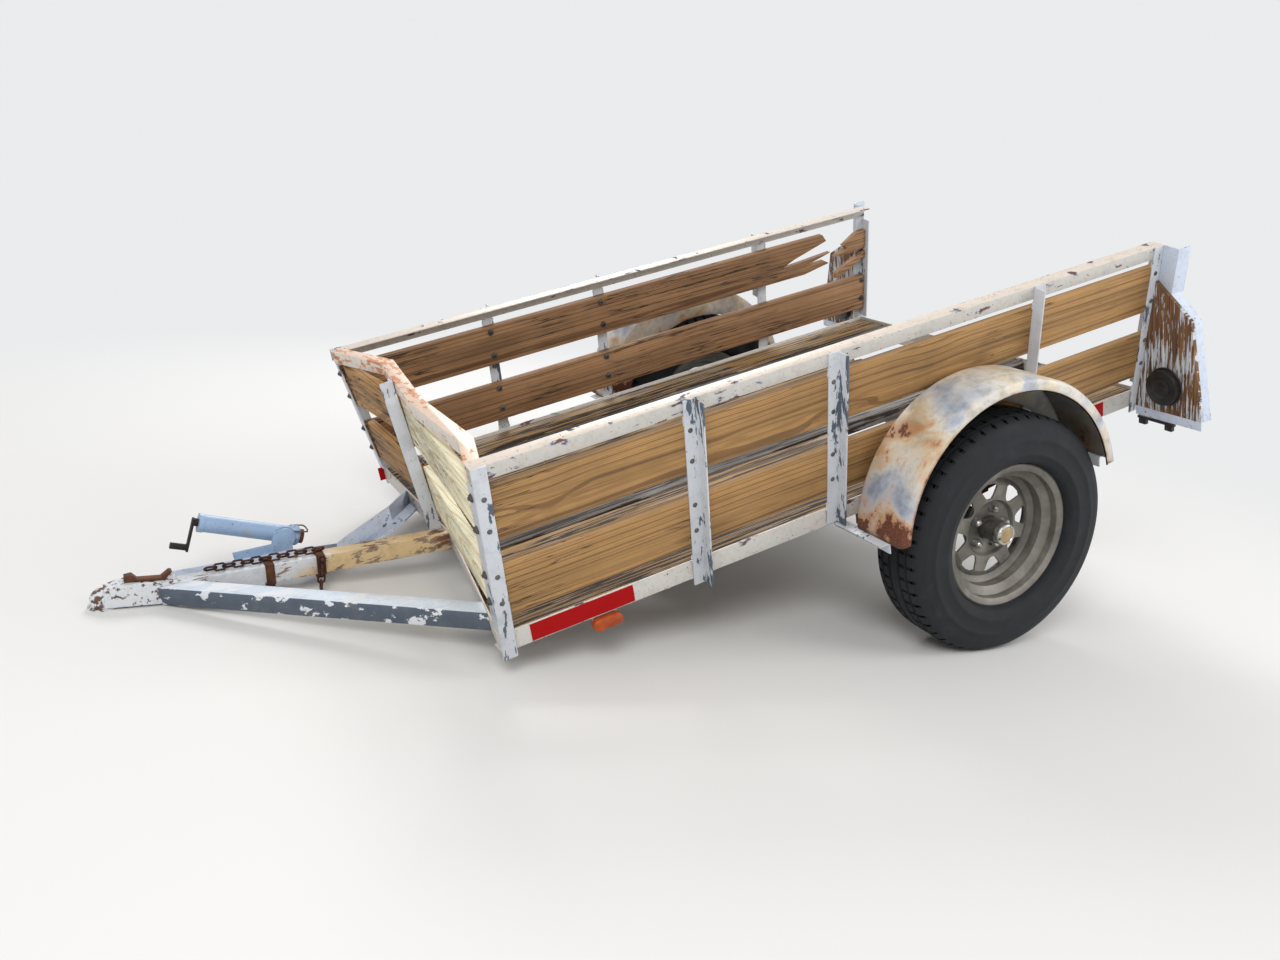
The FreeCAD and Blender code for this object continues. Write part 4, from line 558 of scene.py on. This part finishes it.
def mark_corner_wear_and_shade(bm, turn):
    """Note how near each vertex of the first two stakes is to the inner corner that loads have rubbed; the
    extra chips there also paint the shade of that corner.
    """
    wear = bm.verts.layers.float.new("wear")
    for vert in bm.verts:
        x = (turn @ vert.co).x / MM
        for start in STAKES[:2]:
            if start - 2 < x < start + LEG + 2:
                vert[wear] = (x - start) / LEG


def copy_of(node):
    """A merged copy of a CAD node's mesh with its flat faces whole."""
    bm = bmesh.new()
    bm.from_mesh(NODES[node].data)
    bmesh.ops.remove_doubles(bm, verts=bm.verts, dist=2e-5)
    bmesh.ops.dissolve_limit(bm, angle_limit=math.radians(1), verts=bm.verts, edges=bm.edges)
    return bm


def round_edges(bm, radius, segments=2, angle=30):
    """Round every edge that is sharper than an angle in degrees."""
    sharp = [edge for edge in bm.edges
             if len(edge.link_faces) == 2 and edge.calc_face_angle(0) > math.radians(angle)]
    bmesh.ops.bevel(bm, geom=sharp, offset=radius, offset_type="OFFSET", segments=segments, profile=0.5,
                    affect="EDGES", clamp_overlap=True, material=-1)


def settle(bm, name, finish, body, angle=35):
    """Turn a bmesh into a finished piece that rides on a body."""
    mesh = bpy.data.meshes.new(name)
    bm.to_mesh(mesh)
    bm.free()
    mesh.shade_smooth()
    mesh.set_sharp_from_angle(angle=math.radians(angle))
    mesh.materials.append(FINISH[finish])
    piece = bpy.data.objects.new(name, mesh)
    bpy.context.scene.collection.objects.link(piece)
    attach(piece, body)
    return piece


def body_of_node(node):
    """The body that a CAD node rides on."""
    return next(word for word, nodes in frame["record"]["behaviour"]["bodies"].items() if node in nodes)


def dress(node, finish, radius=None, turn=None, seed=None):
    """Replace a CAD node by a copy with rounded edges and its own finish."""
    bm = copy_of(node)
    if radius:
        round_edges(bm, radius)
    if seed is not None:
        mark_grain(bm, turn, seed)
    elif turn is not None:
        mark_corner_wear_and_shade(bm, turn)
    piece = settle(bm, node + "_worn", finish, body_of_node(node))
    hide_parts(node)


def coat(node, finish):
    """Give a CAD node's own mesh a finish."""
    slots = NODES[node].data.materials
    slots.clear()
    slots.append(FINISH[finish])


def frame_at(origin, along, up):
    """A matrix at a world place with Z along one direction and Y near another."""
    z = along.normalized()
    x = up.cross(z).normalized()
    turn = Matrix((x, z.cross(x), z)).transposed().to_4x4()
    return Matrix.Translation(origin) @ turn


def lathe(bm, profile, matrix, steps=32, closed=False):
    """Spin a profile of (radius, along) in millimetres about Z, and put it in place."""
    verts = [bm.verts.new((r * MM, 0, z * MM)) for r, z in profile]
    pairs = list(zip(verts, verts[1:])) + ([(verts[-1], verts[0])] if closed else [])
    edges = [bm.edges.new(pair) for pair in pairs]
    made = bmesh.ops.spin(bm, geom=verts + edges, cent=(0, 0, 0), axis=(0, 0, 1), dvec=(0, 0, 0),
                          angle=2 * math.pi, steps=steps, use_merge=True)
    fresh = [v for v in verts if v.is_valid]
    fresh += [v for v in made["geom_last"] if isinstance(v, bmesh.types.BMVert)]
    group = []
    for vert in bm.verts:
        vert.tag = False
    for vert in fresh:
        if not vert.tag:
            group += island_of(vert)
    bmesh.ops.remove_doubles(bm, verts=group, dist=1e-6)
    group = [v for v in group if v.is_valid]
    faces = list({f for v in group for f in v.link_faces})
    bmesh.ops.recalc_face_normals(bm, faces=faces)
    bmesh.ops.transform(bm, matrix=matrix, verts=group)


def wire(bm, points, radius, sides=8):
    """A round wire of straight runs with rounded joints, through world points."""
    for near, far in zip(points, points[1:]):
        run = far - near
        turn = run.to_track_quat("Z", "Y").to_matrix().to_4x4()
        bmesh.ops.create_cone(bm, cap_ends=True, segments=sides, radius1=radius, radius2=radius,
                              depth=run.length, matrix=Matrix.Translation((near + far) / 2) @ turn)
    for point in points:
        bmesh.ops.create_icosphere(bm, subdivisions=1, radius=radius * 1.04,
                                   matrix=Matrix.Translation(point))


def dome_of(head):
    """Profile of a carriage bolt's head, from its radius."""
    return [(0, head * 0.5), (head * 0.5, head * 0.44), (head * 0.85, head * 0.24), (head, 0)]


def extent(node):
    """Lowest and highest corner of a CAD node in the trailer's frame, in millimetres."""
    spots = [BED.inverted() @ vert.co / MM for vert in NODES[node].data.vertices]
    return [[pick(spot[axis] for spot in spots) for axis in range(3)] for pick in (min, max)]


class TRAILER_OT_stage(bpy.types.Operator):
    """Floor, soft lights and the camera at the viewing angle"""
    bl_idname = "trailer.stage"
    bl_label = "Stage"

    def execute(self, context):
        scene = context.scene
        bm = bmesh.new()
        bmesh.ops.create_grid(bm, x_segments=2, y_segments=2, size=60)
        mesh = bpy.data.meshes.new("floor")
        bm.to_mesh(mesh)
        bm.free()
        floor = bpy.data.objects.new("floor", mesh)
        scene.collection.objects.link(floor)
        mesh.materials.append(self.floor_finish())
        world = bpy.data.worlds.new("studio")
        world.use_nodes = True
        tree = world.node_tree
        tree.nodes.clear()
        strength = span(tree, self.seen(tree), 0.0, 1.0, 0.6, 0.9)
        sky = add(tree, "Background", {"Color": "#F6F7F8", "Strength": strength})
        add(tree, "OutputWorld", {"Surface": sky.outputs[0]})
        scene.world = world
        for name, place, aim, size, power in (
                ("key", (-3.2, -4.6, 4.8), (0, 0, 0.4), 3.0, 230),
                ("fill", (4.4, -3.6, 3.4), (0.3, 0, 0.4), 3.5, 120),
                ("back", (1.2, 4.8, 4.6), (0, 0, 0.5), 3.0, 230)):
            lamp = bpy.data.lights.new(name, "AREA")
            lamp.shape = "DISK"
            lamp.size = size
            lamp.energy = power
            light = bpy.data.objects.new(name, lamp)
            scene.collection.objects.link(light)
            light.location = place
            light.rotation_euler = (Vector(aim) - Vector(place)).to_track_quat("-Z", "Y").to_euler()
        view = bpy.data.cameras.new("camera")
        view.lens = 31.889
        view.sensor_width = 36
        view.clip_end = 200
        camera = bpy.data.objects.new("camera", view)
        scene.collection.objects.link(camera)
        turn = Matrix(((0.881928, 0.041994, -0.469509), (-0.461155, 0.283226, -0.840904),
                       (0.097664, 0.958133, 0.269151)))
        camera.matrix_world = Matrix.Translation((-1.582332, -3.00993, 1.237178)) @ turn.to_4x4()
        scene.camera = camera
        scene.view_settings.view_transform = "Standard"
        return {"FINISHED"}

    def seen(self, tree):
        """1 for rays from the camera, from gloss and through glass, else 0."""
        path = add(tree, "LightPath")
        seen = maths(tree, "MAXIMUM", path.outputs["Is Camera Ray"], path.outputs["Is Glossy Ray"])
        return maths(tree, "MAXIMUM", seen, path.outputs["Is Transmission Ray"])

    def floor_finish(self):
        """Matt pale paper that holds the shadow near the trailer and runs out into the background."""
        finish, tree, place = new_finish("pale_studio_paper")
        away = add(tree, "VectorMath", {0: place}, operation="LENGTH")
        far = add(tree, "MapRange", {0: away.outputs["Value"], 1: 1.7, 2: 4.6},
                  interpolation_type="SMOOTHSTEP")
        share = maths(tree, "MULTIPLY", far.outputs[0], self.seen(tree))
        paper = add(tree, "BsdfPrincipled", {"Base Color": "#DDDCDA", "Roughness": 0.9})
        glow = add(tree, "Emission", {"Color": "#F6F7F8", "Strength": 0.9})
        both = add(tree, "MixShader", {0: share, 1: paper.outputs[0], 2: glow.outputs[0]})
        add(tree, "OutputMaterial", {"Surface": both.outputs[0]})
        return finish


class TRAILER_OT_steelwork(bpy.types.Operator):
    """Rails, stakes, posts, tongue and running gear in worn paint and rust"""
    bl_idname = "trailer.steelwork"
    bl_label = "Steelwork"

    def execute(self, context):
        radius = context.scene.trailer_sizes.edge_round
        for finish, nodes in (
                ("rail", ("left_bottom_rail", "right_bottom_rail", "left_top_rail", "right_top_rail",
                          "rear_rail", "crossmembers", "front_bottom_rail")),
                ("stake", ("front_middle_post", "left_outriggers", "right_outriggers")),
                ("pale", ("left_wing_frame", "right_wing_frame", "right_brace", "marker_tabs")),
                ("jack", ("jack_bracket",)), ("salmon", ("front_top_rail",)),
                ("tongue", ("tongue_tube",)), ("brace", ("left_brace",)),
                ("rusty", ("axle_clamps", "spring_hangers", "tongue_clamps", "coupler_latch"))):
            for node in nodes:
                dress(node, finish, radius)
        for word, side in SIDES:
            dress("%s_uprights" % word, "stake", radius, side_matrix(side).inverted())
        coat("coupler", "coupler")
        coat("jack_tube", "jack")
        for node in ("axle", "left_spring", "right_spring", "jack_leg"):
            coat(node, "rusty")
        coat("jack_crank", "black")
        coat("safety_chain", "chain")
        return {"FINISHED"}


class TRAILER_OT_boards(bpy.types.Operator):
    """Side boards, front boards and deck planks with their own grain"""
    bl_idname = "trailer.boards"
    bl_label = "Boards"

    def execute(self, context):
        sizes = context.scene.trailer_sizes
        for word, side in SIDES:
            turn = side_matrix(side).inverted()
            finish = "pine" if side < 0 else "old_pine"
            dress("%s_lower_board" % word, finish, sizes.board_round, turn, 3 + side)
            dress("%s_upper_board" % word, finish, sizes.board_round, turn, 7 + side)
        dress("right_board_stub", "old_pine", sizes.board_round, side_matrix(1).inverted(), 12)
        across = Matrix(((0, 1, 0), (0, 0, 1), (1, 0, 0))).to_4x4() @ BED.inverted()
        for index, (node, finish) in enumerate((
                ("left_front_lower_board", "front"), ("left_front_upper_board", "front"),
                ("right_front_lower_board", "tan_front"), ("right_front_upper_board", "tan_front"))):
            dress(node, finish, sizes.board_round, across, 20 + index)
        for node, seed in (("deck_planks", 31), ("broken_planks", 32)):
            dress(node, "deck", sizes.plank_round, BED.inverted(), seed)
        return {"FINISHED"}


class TRAILER_OT_wheels(bpy.types.Operator):
    """Treaded tyres on dusty silver wheels, with plated nuts, dust cap rings and valves"""
    bl_idname = "trailer.wheels"
    bl_label = "Wheels"

    def execute(self, context):
        for word, side in SIDES:
            centre = bed(AXLE[0], side * (HALF_WIDTH + WHEEL_OUT), AXLE[2])
            axis = Vector((0, side, 0))
            self.tyre(context.scene.trailer_sizes, word, frame_at(centre, axis, Vector((0, 0, 1))))
            dress("%s_rim" % word, "wheel", RIM_ROUND)
            dress("%s_hub" % word, "hub", SHEET_ROUND)
            self.fittings(word, side)
        return {"FINISHED"}

    def tyre(self, sizes, word, matrix):
        """Lathe the carcass, then sink the grooves of the shoulder and tread blocks."""
        half = [(344, 0), (344, 13), (338, 15), (338, 21), (344, 23), (343.5, 43), (337.5, 45), (337.5, 51),
                (343, 53), (341, 66), (335, 77), (330, 82), (322, 88), (314, 91), (312, 92.5), (304, 94.5),
                (288, 97.5), (286, 99), (280, 99.4), (278, 98.4), (262, 99), (245, 98.5), (243, 99.2),
                (238, 98.6), (236, 97), (222, 92), (216, 86), (212.5, 78), (211, 70), (204, 66), (192, 64),
                (191.5, 60)]
        profile = [(r, -z) for r, z in reversed(half[1:])] + half
        bm = bmesh.new()
        lathe(bm, profile, Matrix(), sizes.tread_steps, closed=True)
        cut = []
        step = 2 * math.pi / sizes.tread_steps
        for face in bm.faces:
            middle = face.calc_center_median()
            across = abs(middle.z) / MM
            round_at = math.hypot(middle.x, middle.y) / MM
            index = int((math.atan2(middle.y, middle.x) % (2 * math.pi)) / step)
            skew = 1 if middle.z > 0 else 0
            shoulder = round_at > 333 and 53 < across < 80 and (index + skew) % 4 == 0
            block = round_at > 342 and 23 < across < 43 and (index + 2 * skew) % 4 == 1
            if shoulder or block:
                cut.append(face)
        walls = bmesh.ops.extrude_discrete_faces(bm, faces=cut)["faces"]
        for face in walls:
            for vert in face.verts:
                flat = Vector((vert.co.x, vert.co.y, 0)).normalized()
                vert.co -= flat * sizes.groove_depth
        bmesh.ops.transform(bm, matrix=matrix, verts=bm.verts)
        tyre = settle(bm, "%s_tyre_treaded" % word, "rubber", "%s_wheel" % word, 40)
        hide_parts("%s_tyre" % word)

    def fittings(self, word, side):
        """Acorn nuts on the five studs, the dust cap's bright ring with its plug, and the valve."""
        rides = "%s_wheel" % word
        up = BED.to_3x3() @ Vector((0, 0, 1))
        axis = Vector((0, side, 0))

        def spot(radius, degrees, out):
            angle = math.radians(degrees)
            return bed(AXLE[0] + radius * math.cos(angle), side * (HALF_WIDTH + WHEEL_OUT + out),
                       AXLE[2] - side * radius * math.sin(angle))

        acorn = [(12.2, 0), (12.2, 3), (11.2, 5), (11, 13), (9.6, 18), (6.5, 22), (2.5, 24), (0, 24.2)]
        bm = bmesh.new()
        for index in range(5):
            lathe(bm, acorn, frame_at(spot(STUD_CIRCLE, 72 * index, WHEEL_FACE), axis, up), 18)
        ring = [(31.4, 44), (32.4, 46), (32.4, 60), (30.4, 63.5), (27.5, 65.8), (24, 65.8), (22.5, 64)]
        lathe(bm, ring, frame_at(spot(0, 0, 0), axis, up), 40)
        settle(bm, "%s_wheel_nuts" % word, "chrome", rides)
        bm = bmesh.new()
        plug = [(22.7, 64.2), (21, 65.4), (14, 65.6), (13, 64.9), (3, 64.9), (0, 65.2)]
        lathe(bm, plug, frame_at(spot(0, 0, 0), axis, up), 32)
        settle(bm, "%s_cap_plug" % word, "plug", rides)
        bm = bmesh.new()
        stem = [(8, -4), (8, 2), (5.5, 5), (4.6, 16), (5, 17), (5, 29), (4, 31), (0, 31.3)]
        near = frame_at(spot(*VALVE), axis, up)
        lathe(bm, stem, near @ Matrix.Rotation(math.radians(14), 4, "X"), 16)
        settle(bm, "%s_valve" % word, "rubber", rides)


class TRAILER_OT_fenders(bpy.types.Operator):
    """Round fenders of rolled sheet, with a flat ring at the outer edge"""
    bl_idname = "trailer.fenders"
    bl_label = "Fenders"

    def execute(self, context):
        roll = context.scene.trailer_sizes.lip_roll
        for word, side in SIDES:
            node = "%s_fender" % word
            ahead, out, over = FENDER_FROM_AXLE
            centre = Vector((AXLE[0] + ahead, side * (HALF_WIDTH + WHEEL_OUT + out), AXLE[2] + over)) * MM
            turns = []
            for vert in NODES[node].data.vertices:
                spot = BED.inverted() @ vert.co - centre
                if abs(spot.y) < 0.006 and math.hypot(spot.x, spot.z) < 0.36:
                    turns.append(math.atan2(spot.z, spot.x))
            first, last = min(turns), max(turns)
            bm = bmesh.new()
            start = Matrix.Rotation(first, 4, "Z") @ Matrix.Translation((FENDER_EDGE * MM, 0, 0))
            bmesh.ops.create_circle(bm, segments=10, radius=roll, matrix=start)
            bmesh.ops.spin(bm, geom=list(bm.verts) + list(bm.edges), cent=(0, 0, 0), axis=(0, 0, 1),
                           dvec=(0, 0, 0), angle=last - first, steps=72)
            holes = [edge for edge in bm.edges if len(edge.link_faces) == 1]
            bmesh.ops.contextual_create(bm, geom=holes)
            bmesh.ops.recalc_face_normals(bm, faces=bm.faces)
            place = BED @ Matrix.Translation(centre) @ Matrix.Rotation(math.pi / 2, 4, "X")
            bmesh.ops.transform(bm, matrix=place, verts=bm.verts)
            settle(bm, "%s_fender_lip" % word, "fender", "chassis", 60)
            dress(node, "fender", SHEET_ROUND)
        return {"FINISHED"}


class TRAILER_OT_tail_boards(bpy.types.Operator):
    """Plywood tail boards with round lamps, their bezels and lenses"""
    bl_idname = "trailer.tail_boards"
    bl_label = "Tail boards"

    def execute(self, context):
        upright = Matrix(((0, 0, 1), (0, 1, 0), (1, 0, 0))).to_4x4() @ BED.inverted()
        rear = BED.to_3x3() @ Vector((1, 0, 0))
        for word, side in SIDES:
            dress("%s_wing_panel" % word, "ply", SHEET_ROUND, upright, 40 + side)
            dress("%s_tail_lamp" % word, "lamp", LAMP_ROUND)
            low, high = extent("%s_tail_lamp" % word)
            middle = [(near + far) / 2 for near, far in zip(low, high)]
            lens = [(50, -3), (50, 1.5), (46, 3), (44, 1.6), (38, 1.9), (36, 3.2), (30, 3.6), (28, 2.2),
                    (20, 2.5), (18, 3.8), (10, 4), (8, 2.8), (0, 3)]
            bm = bmesh.new()
            lathe(bm, lens, frame_at(bed(high[0], *middle[1:]), rear, Vector((0, 0, 1))), 40)
            settle(bm, "%s_lamp_lens" % word, "red_lens", "chassis")
            bezel = [(54, 0), (58, 0.2), (60, 2.2), (57, 4.6), (52, 3.4), (50, 1)]
            bm = bmesh.new()
            lathe(bm, bezel, frame_at(bed(PANEL_FRONT, *middle[1:]), -rear, Vector((0, 0, 1))), 40)
            cap = [(30, -1), (30, 2), (26, 4), (12, 4.6), (11, 8), (0, 8.6)]
            lathe(bm, cap, frame_at(bed(low[0], *middle[1:]), -rear, Vector((0, 0, 1))), 24)
            settle(bm, "%s_lamp_bezel" % word, "lamp", "chassis")
        self.lower_clip()
        return {"FINISHED"}

    def lower_clip(self):
        """The black moulded clip that hangs under the left tail board."""
        bm = bmesh.new()
        for width, depth, height, y, z in ((132, 12, 9, -765, -36), (26, 14, 22, -718, -46),
                                           (26, 14, 22, -812, -46)):
            made = bmesh.ops.create_cube(bm, size=1)["verts"]
            bmesh.ops.scale(bm, vec=(depth * MM, width * MM, height * MM), verts=made)
            place = BED @ Matrix.Translation(Vector((CLIP, y, z)) * MM)
            bmesh.ops.transform(bm, matrix=place, verts=made)
        round_edges(bm, CLIP_ROUND)
        settle(bm, "left_tail_clip", "lamp", "chassis")


class TRAILER_OT_fixings(bpy.types.Operator):
    """Carriage bolts with their nuts, weld beads, reflective tape, side markers and the jack's collar"""
    bl_idname = "trailer.fixings"
    bl_label = "Fixings"

    def execute(self, context):
        for word, side in SIDES:
            self.bolts(context.scene.trailer_sizes.bolt_head / MM, word, side)
            self.welds(word, side)
            self.tape(word, side)
        self.middle_post_bolts(context.scene.trailer_sizes.bolt_head / MM)
        self.jack_collar()
        dress("side_markers", "amber", LAMP_ROUND)
        return {"FINISHED"}

    def bolts(self, head, word, side):
        """Bolts through the first two stakes and the front and rear posts.

        The left front post stands ahead of its place; the right one is pushed in at its foot.
        """
        nut = [(4, 9), (4.6, 8), (4.6, 5), (8.5, 5), (9, 4.5), (9, 0.8), (11, 0.8), (11, 0)]
        matrix = side_matrix(side)
        out = matrix.to_3x3() @ Vector((0, 0, 1))
        up = matrix.to_3x3() @ Vector((0, 1, 0))
        ahead = BED.to_3x3() @ Vector((-1, 0, 0))
        bm = bmesh.new()
        for level in BOARD_BOLTS:
            front = FRONT_SHIFT[1] * (1 - level / 514) if side > 0 else FRONT_SHIFT[0]
            for x in (front + 20, STAKES[0] + 15, STAKES[1] + 15, REAR_POST + 16):
                if side > 0 and level > 300 and x > 2000:
                    continue
                lathe(bm, dome_of(head), frame_at(on_side(side, x, level, 5), out, up), 14)
                lathe(bm, nut, frame_at(on_side(side, x, level, -25), -out, up), 12)
            lathe(bm, nut, frame_at(on_side(side, front, level, -20), ahead, up), 12)
        settle(bm, "%s_side_bolts" % word, "bolt", "chassis")

    def middle_post_bolts(self, head):
        """Bolts through the leaning middle post of the front."""
        foot, top = Vector((83.7, 45.5, 0)), Vector((43, 90, BOX_HEIGHT))
        rise = BED.to_3x3() @ (top - foot).normalized()
        ahead = BED.to_3x3() @ Vector((-1, 0, 0))
        bm = bmesh.new()
        for level in BOARD_BOLTS:
            spot = foot + (top - foot) * (level / BOX_HEIGHT)
            lathe(bm, dome_of(head), frame_at(bed(spot.x - 5, spot.y + 4, spot.z), ahead, rise), 14)
        settle(bm, "middle_post_bolts", "bolt", "chassis")

    def welds(self, word, side):
        """Short beads where the stakes and the rear post cross the bottom and top rails."""
        chance = random.Random(50 + side)
        bm = bmesh.new()
        for start in STAKES + (REAR_POST,):
            for level, x in ((52, start), (52, start + LEG), (474, start), (474, start + LEG)):
                if start == STAKES[1] and level == 52 and x > start:
                    continue
                for step in range(6):
                    up = level + step * 4 - 24 * (level > 400)
                    spot = on_side(side, x + chance.uniform(-1.2, 1.2), up, 0.6)
                    bmesh.ops.create_icosphere(bm, subdivisions=1, radius=chance.uniform(0.0022, 0.0032),
                                               matrix=Matrix.Translation(spot))
        settle(bm, "%s_weld_beads" % word, "stake", "chassis", 80)

    def tape(self, word, side):
        """Two pieces of 2 in reflective tape on the bottom rail, a little wavy."""
        chance = random.Random(60 + side)
        bm = bmesh.new()
        for start, end in TAPES:
            steps = max(4, (end - start) // 8)
            made = bmesh.ops.create_grid(bm, x_segments=steps, y_segments=6, size=0.5)["verts"]
            for vert in made:
                x = (start + end) / 2 + vert.co.x * (end - start)
                up = RAIL / 2 + vert.co.y * 46
                lift = 0.5 + 0.35 * math.sin(x / 21) * math.cos(up / 9) + chance.uniform(0, 0.15)
                vert.co = bed(x, side * (HALF_WIDTH + lift), up)
        bmesh.ops.recalc_face_normals(bm, faces=bm.faces)
        bmesh.ops.solidify(bm, geom=list(bm.faces), thickness=0.0003)
        settle(bm, "%s_rail_tape" % word, "tape", "chassis")

    def jack_collar(self):
        """The collar and wire bail of the jack's pull pin, on the tube behind its pivot."""
        turned = BED.to_3x3()
        back = turned @ Vector((math.cos(JACK_SLOPE), 0, -math.sin(JACK_SLOPE)))
        over = turned @ Vector((math.sin(JACK_SLOPE), 0, math.cos(JACK_SLOPE)))
        middle = extent("jack_tube")[1][1] - 26.5
        pivot = bed(JACK_PIVOT[0], middle, JACK_PIVOT[1])
        bm = bmesh.new()
        collar = [(24.6, 18), (30, 18), (31, 20), (31, 38), (30, 40), (24.6, 40)]
        lathe(bm, collar, frame_at(pivot, back, over), 8, closed=True)
        settle(bm, "jack_collar", "jack", "jack", 20)
        side = turned @ Vector((0, 1, 0))
        corners = [(26, 28.8), (60, 28.8), (64, 12), (64, -12), (60, -28.8), (26, -28.8)]
        points = [pivot + (back * a + side * b + over * (20 + (a - 26) * 0.12)) * MM for a, b in corners]
        bm = bmesh.new()
        wire(bm, points, 0.0022)
        settle(bm, "jack_bail", "bolt", "jack", 60)


class TRAILER_PT_panel(bpy.types.Panel):
    """Trailer pieces in the sidebar"""
    bl_idname = "TRAILER_PT_panel"
    bl_label = "Utility Trailer"
    bl_space_type = "VIEW_3D"
    bl_region_type = "UI"
    bl_category = "Trailer"

    def draw(self, context):
        for operator in OPERATORS:
            self.layout.operator(operator.bl_idname)
        for group in (context.scene.trailer_sizes, context.scene.trailer_colours):
            for word in group.__annotations__:
                self.layout.prop(group, word)


OPERATORS = (TRAILER_OT_stage, TRAILER_OT_steelwork, TRAILER_OT_boards, TRAILER_OT_wheels,
             TRAILER_OT_fenders, TRAILER_OT_tail_boards, TRAILER_OT_fixings)
CLASSES = (TrailerSizes, TrailerColours) + OPERATORS + (TRAILER_PT_panel,)


def register():
    for kind in CLASSES:
        bpy.utils.register_class(kind)
    bpy.types.Scene.trailer_sizes = PointerProperty(type=TrailerSizes)
    bpy.types.Scene.trailer_colours = PointerProperty(type=TrailerColours)


def unregister():
    del bpy.types.Scene.trailer_colours
    del bpy.types.Scene.trailer_sizes
    for kind in reversed(CLASSES):
        bpy.utils.unregister_class(kind)


def main():
    """Register the add-on and make every piece."""
    register()
    make_finishes()
    for operator in OPERATORS:
        group, word = operator.bl_idname.split(".")
        getattr(getattr(bpy.ops, group), word)()


if __name__ == "__main__":
    main()
